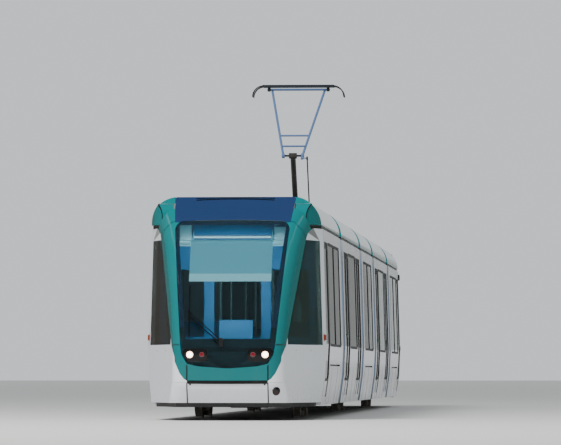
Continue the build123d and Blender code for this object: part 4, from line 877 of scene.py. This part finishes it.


# Black beads for the louvre slots: painted shade in the openings.
slots = []
for middle_z, end_z, half, radius in LOUVRES:
    rise = middle_z - end_z
    path = [on_front(y, end_z + rise * (1 - (y / half) ** 2))[0] for y in steps(-half, half, 24)]
    slots.append(bead(path, radius))
seals = []
for side in (-1, 1):
    seals.append(bead([on_front(side * y, z, lift=-0.002)[0] for y, z in CAP_JOINT], 0.006))
    upper = [on_front(side * SEAM_Y, z, lift=-0.002)[0] for z in steps(0.585, 0.80, 6)]
    lower = [on_front(side * SEAM_Y, z, ("bumper_front",), -0.002)[0] for z in steps(0.262, 0.548, 6)]
    seals += [bead(upper, 0.010), bead(lower, 0.010)]
    cross = [on_front(side * y, CROSS_JOINT_Z, lift=-0.002)[0] for y in steps(0.70, 0.83, 5)]
    seals.append(bead(cross, 0.007))
# Two thick black beads along the mask's foot: painted shade in the gap over the bumper.
for inward, height in ((0.008, 0.563), (0.004, 0.545)):
    gap_shadow_path = [(on_front(y, 0.6)[0].x - inward, y, height + 0.010 * y * y) for y in steps(-0.575, 0.575, 20)]
    seals.append(bead(gap_shadow_path, 0.018))
# Black bead along the fairing's groove: painted shade in the recess.
groove = []
for turn in steps(-0.5, 1.3, 12):
    groove_x = FAIRING_GROOVE_X + FAIRING_GROOVE_RADIUS * cos(turn)
    groove_z = FAIRING_GROOVE_Z + FAIRING_GROOVE_RADIUS * sin(turn)
    groove.append(on_flank(groove_x, groove_z, "covers_front", -0.003))
groove = bead(groove, 0.011)
seals += [groove, copied(groove, MIRROR)]
fitted_pair(joined(slots), "louvre_slot_shade", trim_black)
fitted_pair(joined(seals), "nose_seals_and_shade", trim_black)

# Windscreen. One large laminated pane, faintly blue, bonded in the mask; a band is printed round its
# edge, dark blue above and black over its foot.
# columns: y, z of the pane's edge at its foot and its head
SCREEN_EDGE = [(0.664, 1.200), (0.850, 2.916)]
PRINT_WIDTH, PRINT_INSET = 0.050, 0.0128
PRINT_LOW = 1.185
PRINT_BLACK_TOP = 1.35
CLEAR_HIGH, CLEAR_SAG = 2.868, 0.03
screen_glass = glass_material("screen_glass", "b4e0ea", 0.01)
print_navy = finish_material("print_navy", "1c2c54", 0.5, film=0.05, top=4.0)
tree = print_navy.node_tree
low_part = math_node(tree, "LESS_THAN", object_axes(tree)["Z"], PRINT_BLACK_TOP)
tree.links.new(mix_colours(tree, low_part, "1c2c54", "0c0f16"), tree.nodes["dusty"].inputs["Colour"])


def in_clear_glass(centre, normal):
    (low_y, low_z), (high_y, high_z) = SCREEN_EDGE
    edge_y = low_y + (high_y - low_y) * (centre.z - low_z) / (high_z - low_z) - PRINT_WIDTH
    return abs(centre.y) < edge_y and PRINT_LOW < centre.z < CLEAR_HIGH - CLEAR_SAG * (centre.y / 0.8) ** 2


dress_each("windscreen", ENDS, [screen_glass])
band = copied(nodes["windscreen_front"], Matrix.Identity(4))
band.parent = None
for key in list(band.keys()):
    del band[key]
select_only(band)
mode("EDIT")
select_all()
bpy.ops.mesh.remove_doubles(threshold=0.00005)
mode("OBJECT")
cut_away(band, lambda centre, normal: normal.x < 0.15)
(low_y, low_z), (high_y, high_z) = SCREEN_EDGE
for side in (-1, 1):
    normal = Vector((0, side * (high_z - low_z), low_y - high_y)).normalized()
    cut(Vector((0, side * low_y, low_z)) - PRINT_WIDTH * normal, normal)
for height in (PRINT_LOW, CLEAR_HIGH - CLEAR_SAG, CLEAR_HIGH):
    cut((0, 0, height), (0, 0, 1))
mode("OBJECT")
cut_away(band, in_clear_glass)
select_all()
bpy.ops.transform.shrink_fatten(value=-PRINT_INSET)
mode("OBJECT")
modified(band, "SOLIDIFY", thickness=0.001)
fitted_pair(band, "screen_print", print_navy, angle=1.0)

# Sign and blind case. Pale moulded plastic boxes fixed to the cab's ceiling on both sides of the sign, a
# strip lamp under it, and above the blind the grooved cassette that it rolls into.
SIGN_X, SIGN_BOX_Y = 15.165, 0.695
CASSETTE_X = 15.40
case_pale = finish_material("case_pale", "dff8fa", 0.5, film=0.05, top=4.0, bump=0.2, grain=500)
strip_white = finish_material("strip_white", "eef6f4", 0.4, film=0.03, top=4.0)
glow(strip_white, "e6f4f2", 0.7)


def slab(low, high, width):
    """Block between two corners, with rounded edges."""
    middle = [(a + b) / 2 for a, b in zip(low, high)]
    return bevelled(cube(middle, [b - a for a, b in zip(low, high)]), width)


sign_front = on_front(0.775, 2.86, ("windscreen_front", "mask_front"))[0].x - 0.05
case_parts = []
for side in (-1, 1):
    box_y = side * SIGN_BOX_Y
    case_parts.append(slab((SIGN_X - 0.03, box_y - 0.085, 2.642), (sign_front, box_y + 0.085, 2.862), 0.008))
case_parts.append(slab((SIGN_X - 0.06, -0.61, 2.880), (SIGN_X, 0.61, 2.892), 0.003))
cassette = cube((CASSETTE_X - 0.095, 0, 2.589), (0.098, 1.54, 0.084))
stepped(cassette, (1, 0, 0), (0.014, -0.006))
case_parts.append(bevelled(cassette, 0.006))
strip = bead([(SIGN_X + 0.03, -0.57, 2.682), (SIGN_X + 0.03, 0.57, 2.682)], 0.012)
fitted_pair(joined(case_parts), "sign_case", case_pale)
fitted_pair(strip, "sign_strip", strip_white)

# Lamps. Black housings behind the foot of the screen, each with a white headlamp lens in a bright ring
# and a domed red tail lamp inboard of it; an orange marker lamp sits on each pillar.
HEADLAMP_Y, LAMP_Z, HEADLAMP_RADIUS = 0.546, 0.955, 0.048
TAIL_Y, TAIL_RADIUS = 0.370, 0.033
MARKER_Z, MARKER_HALF = 1.215, 0.036
ALONG_X = (0, pi / 2, 0)
housing_black = finish_material("housing_black", "0b0d10", 0.2, film=0.08, top=1.5)
chrome = finish_material("chrome", "8b8e92", 0.12, metallic=1.0, film=0.05)
marker_orange = finish_material("marker_orange", "8e2f12", 0.25, film=0.1, coat=0.5)
marker_foot = finish_material("marker_foot", "c9ccd0", 0.5, film=0.2)
tail_red = finish_material("tail_red", "6a0c18", 0.2, coat=0.3, film=0.03)
glow(tail_red, "a01424", 0.15)
lens_lit = finish_material("lens_lit", "f4f2ea", 0.15, film=0.0)
tree = lens_lit.node_tree
axes = object_axes(tree)
off_y = math_node(tree, "SUBTRACT", math_node(tree, "ABSOLUTE", axes["Y"]), HEADLAMP_Y)
off_z = math_node(tree, "SUBTRACT", axes["Z"], LAMP_Z)
reach = math_node(tree, "MULTIPLY_ADD", off_z, off_z, math_node(tree, "MULTIPLY", off_y, off_y))
reach = math_node(tree, "DIVIDE", math_node(tree, "SQRT", reach), HEADLAMP_RADIUS)
rim_part = math_node(tree, "POWER", math_node(tree, "MINIMUM", reach, 1.0), 3.0)
glow(lens_lit, mix_colours(tree, rim_part, "fffaf0", "ffb469"), 9.0)


def lamp_finish(centre, normal):
    """Marker lamp and its foot, lit lens, or housing."""
    if abs(centre.x) < 14.6:
        return 2 if abs(centre.z - MARKER_Z) < MARKER_HALF or abs(centre.y) < side_y(1.2) - 0.02 else 3
    lens = hypot(abs(centre.y) - HEADLAMP_Y, centre.z - LAMP_Z) < HEADLAMP_RADIUS - 0.0001
    return 1 if lens and abs(normal.x) > 0.3 else 0


def facing(place, normal):
    """Matrix that sets something modelled round +X at a place, turned to its normal."""
    return Matrix.Translation(place) @ normal.to_track_quat("X", "Z").to_matrix().to_4x4()


dress_each("lamps", ENDS, [housing_black, lens_lit, marker_orange, marker_foot], lamp_finish)
ring = torus(HEADLAMP_RADIUS + 0.004, 0.005, 40, 8, (0.001, 0, 0), ALONG_X)
dome = start(bpy.ops.mesh.primitive_uv_sphere_add, (0, 0, 0), ALONG_X, (1, 1, 0.4),
             segments=32, ring_count=16, radius=TAIL_RADIUS)
cut_away(dome, lambda centre, normal: centre.x < -0.002)
select_all()
bpy.ops.mesh.region_to_loop()
bpy.ops.mesh.edge_face_add()
mode("OBJECT")
tail_ring = torus(TAIL_RADIUS + 0.002, 0.004, 36, 8, (0.001, 0, 0), ALONG_X)
rings, domes = [], []
for side in (-1, 1):
    lamp_place, lamp_normal = on_front(side * HEADLAMP_Y, LAMP_Z + HEADLAMP_RADIUS + 0.006, ("lamps_front",))
    rings.append(copied(ring, facing((lamp_place.x, side * HEADLAMP_Y, LAMP_Z), lamp_normal)))
    tail_facing = facing(*on_front(side * TAIL_Y, LAMP_Z, ("lamps_front",)))
    domes.append(copied(dome, tail_facing))
    rings.append(copied(tail_ring, tail_facing))
discard(ring, dome, tail_ring)
fitted_pair(joined(rings), "lamp_rings", chrome)
fitted_pair(joined(domes), "tail_lamps", tail_red)

# Bumper mouldings and coupler flap. Painted glass-fibre with a pressed crease beside the flap, a thin
# groove and two rubber plugs on the flap, small panel fasteners, and a dark sleeve in the round socket; the
# crease and the groove are drawn as grey lines, painted shade along them.
SOCKET_X, SOCKET_Y, SOCKET_Z, SOCKET_RADIUS = 15.5, 0.707, 0.425, 0.0635
CREASE_Z, GROOVE_Z = 0.553, 0.502
PLUG_Y, PLUG_Z = 0.54, 0.527
FASTENER_Z, FASTENER_SIZE = 1.02, 0.6
socket_maroon = finish_material("socket_maroon", "2c1519", 0.6, film=0.2, bump=0.3)
crease_painted_shade = finish_material("crease_painted_shade", "8f949b", 0.4, film=0.4)


def bumper_finish(turn):
    """Painted outside, sleeve in the socket, or dark inside."""
    def choose(centre, normal):
        in_socket = hypot(turn * centre.y - SOCKET_Y, centre.z - SOCKET_Z) < SOCKET_RADIUS
        if in_socket and centre.x * turn > SOCKET_X:
            return 1
        return 0 if normal.x * turn > -0.3 or abs(normal.z) > 0.8 else 2
    return choose


def on_bumper(y, z, lift=0.0):
    return on_front(y, z, ("bumper_front",), lift)


for end, turn in (("front", 1), ("rear", -1)):
    dress(f"bumper_{end}", [body_paint, socket_maroon, underframe_black], bumper_finish(turn))
# The crease and the groove are grey lines on the white paint: painted shade along them.
creases = []
outward = Vector((0.295, 1, 0)).normalized()
for side in (-1, 1):
    path = [on_bumper(side * y, CREASE_Z - 0.006 * (y - 0.6), -0.0012)[0] for y in steps(0.60, 0.84, 8)]
    creases.append(bead(path, 0.0028))
creases.append(bead([on_bumper(y, GROOVE_Z, -0.0012)[0] for y in steps(-0.565, 0.565, 12)], 0.0025))
plug = cylinder(0.014, 0.008, 24, turn=ALONG_X)
stepped(plug, (1, 0, 0), (0.005, -0.002))
bevelled(plug, 0.0012)
plugs = [copied(plug, facing(*on_bumper(side * PLUG_Y, PLUG_Z))) for side in (-1, 1)]
for fastener_x in (14.95, 15.57):
    flank_facing = facing(on_flank(fastener_x, FASTENER_Z, "bumper_front"), outward)
    small = copied(plug, flank_facing @ Matrix.Scale(FASTENER_SIZE, 4))
    plugs += [small, copied(small, MIRROR)]
discard(plug)
fitted_pair(joined(creases), "bumper_creases", crease_painted_shade)
fitted_pair(joined(plugs), "bumper_plugs", trim_black)

# Side camera. A small black moulded pod under the eave of the rear cab, on the side that the reference
# view shows, with a glass window that looks along the doors.
pod = cube((14.47, -1.272, 2.70), (0.115, 0.05, 0.125))
stepped(pod, (0, -1, 0), (0.012, 0.010))
bevelled(pod, 0.012, 4)
pod = joined([pod, bevelled(cylinder(0.016, 0.012, 24, (14.411, -1.285, 2.70), ALONG_X), 0.002)])
pod.data.transform(TURN)
fitted(pod, "side_camera_rear", trim_black, "rear")

# Wiper. Two parallel pressed arms from one spindle cap under the screen, and a blade with a rubber lip.
# They are the source's own solids, in satin black all over.
dress_each("wiper", ENDS, [trim_black])

# Pantograph. Steel tubes on roof insulators: the base and lower arm are black, the upper arm is painted
# blue-grey, and the spring-carried head has carbon strips between down-turned horns.
POST_PLACES = [(-0.46, -0.4), (-0.46, 0.4), (0.56, -0.4), (0.56, 0.4)]
POST_RADIUS, POST_TOP = 0.056, 3.28
SHEDS, SHED_LOW, SHED_PITCH = 6, 2.88, 0.062
STRIP_LOW, STRIP_HALF = 5.871, 0.64
panto_black = finish_material("panto_black", "17191c", 0.4, top=7.0, bump=0.2, grain=300)
panto_blue = finish_material("panto_blue", "4c6c9a", 0.4, film=0.25, top=8.0, bump=0.1, grain=300)
carbon = finish_material("carbon", "2a2b2d", 0.55, film=0.2, top=8.0, bump=0.6, grain=600)
carrier_metal = finish_material("carrier_metal", "1e2832", 0.4, metallic=0.2, film=0.15, top=8.0)
insulator_brown = finish_material("insulator_brown", "6b4438", 0.3, coat=0.3, film=0.4, top=5.0)


def base_finish(centre, normal):
    """Insulator or steel."""
    on_post = any(hypot(centre.x - x, centre.y - y) < POST_RADIUS for x, y in POST_PLACES)
    return 1 if centre.z < POST_TOP and on_post else 0


def head_finish(centre, normal):
    """Carbon face, its carrier, or the rest of the head."""
    if centre.z > STRIP_LOW and abs(centre.y) < STRIP_HALF:
        return 1 if normal.z > 0.9 else 2
    return 0


dress("pantograph_base", [panto_black, insulator_brown], base_finish)
dress("pantograph_lower_arm", [panto_black])
dress("pantograph_upper_arm", [panto_blue])
dress("pantograph_control_rod", [panto_black])
dress("pantograph_head", [panto_black, carbon, carrier_metal], head_finish)
shed = start(bpy.ops.mesh.primitive_cone_add, vertices=32, radius1=0.085, radius2=POST_RADIUS, depth=0.018)
bevelled(shed, 0.002, 1)
sheds = [moved(shed, x, y, SHED_LOW + SHED_PITCH * row) for x, y in POST_PLACES for row in range(SHEDS)]
discard(shed)
fitted(joined(sheds), "insulator_sheds", insulator_brown, "centre")

# Studio. A pale floor under even pale light, a soft key high in front, a fill in each cab, and the reference
# view's lens. Plain screens stand far off, which only shiny surfaces mirror: two low behind for the side
# windows, one along each side for the cab's panes, and three ahead and overhead for mask and windscreen.
# columns: name, place, turn, size, colour
SCREENS = [
    ("flag_behind_near", (-200, 27.9, 6.9), (0, pi / 2, 0), (8.6, 36), "b0b1ae"),
    ("flag_behind_far", (-200, -2.1, 6.9), (0, pi / 2, 0), (8.6, 24), "e4e7e5"),
    ("flag_left", (-50, 75, 38), (pi / 2, 0, 0), (300, 80), "5d7569"),
    ("flag_right", (-50, -75, 38), (pi / 2, 0, 0), (300, 80), "6b5a4e"),
    ("flag_ahead", (130, 0, 22), (0, pi / 2, 0), (60, 240), "2d3436"),
    ("flag_front", (70, 0, 50), (0, pi / 4, 0), (70, 140), "20262e"),
    ("flag_overhead", (0, 0, 75), (0, 0, 0), (170, 120), "323b48"),
]
CAMERA_PLACE = Vector((83.5, 5.08, 0.665))
VIEW_DIRECTION = Vector((-1.0, -0.0641, 0.03265))
# columns: name, place, aim, size, power
LIGHTS = [
    ("key_light", (36, -12, 34), (10, 0, 1.5), 14, 23000),
    ("cab_light_front", (15.72, 0, 1.45), (15.2, 0, 2.4), 0.5, 42),
    ("cab_light_rear", (-15.72, 0, 1.45), (-15.2, 0, 2.4), 0.5, 24),
]


def backdrop(name, place, turn, size, colour, rough):
    """Plain sheet of the studio."""
    sheet = start(bpy.ops.mesh.primitive_plane_add, place, turn, (*size, 1), size=1)
    sheet.name = name
    sheet.data.materials.append(new_material(f"{name}_paint", {"Base Color": colour, "Roughness": rough}))
    return sheet


backdrop("studio_floor", (0, 0, 0), (0, 0, 0), (900, 900), "c9c9c6", 0.9)
for name, place, turn, size, colour in SCREENS:
    screen = backdrop(name, place, turn, size, colour, 1.0)
    screen.visible_camera = False
    screen.visible_diffuse = False
    screen.visible_shadow = False
    screen.visible_transmission = False
world = bpy.data.worlds.new("studio")
world.use_nodes = True
world.node_tree.nodes["Background"].inputs["Color"].default_value = srgb("eef1f5")
world.node_tree.nodes["Background"].inputs["Strength"].default_value = 0.9
bpy.context.scene.world = world
bpy.ops.object.camera_add(
    location=CAMERA_PLACE, rotation=VIEW_DIRECTION.to_track_quat("-Z", "Y").to_euler()
)
camera = bpy.context.object
camera.data.lens = 299.7
camera.data.sensor_width = 36
camera.data.clip_end = 2000
bpy.context.scene.camera = camera
for name, place, aim, size, power in LIGHTS:
    bpy.ops.object.light_add(type="AREA", location=place)
    light = bpy.context.object
    light.name = name
    light.data.size = size
    light.data.energy = power
    light.rotation_euler = (Vector(aim) - light.location).to_track_quat("-Z", "Y").to_euler()
    light.visible_camera = False
    light.visible_glossy = False
    light.visible_transmission = False
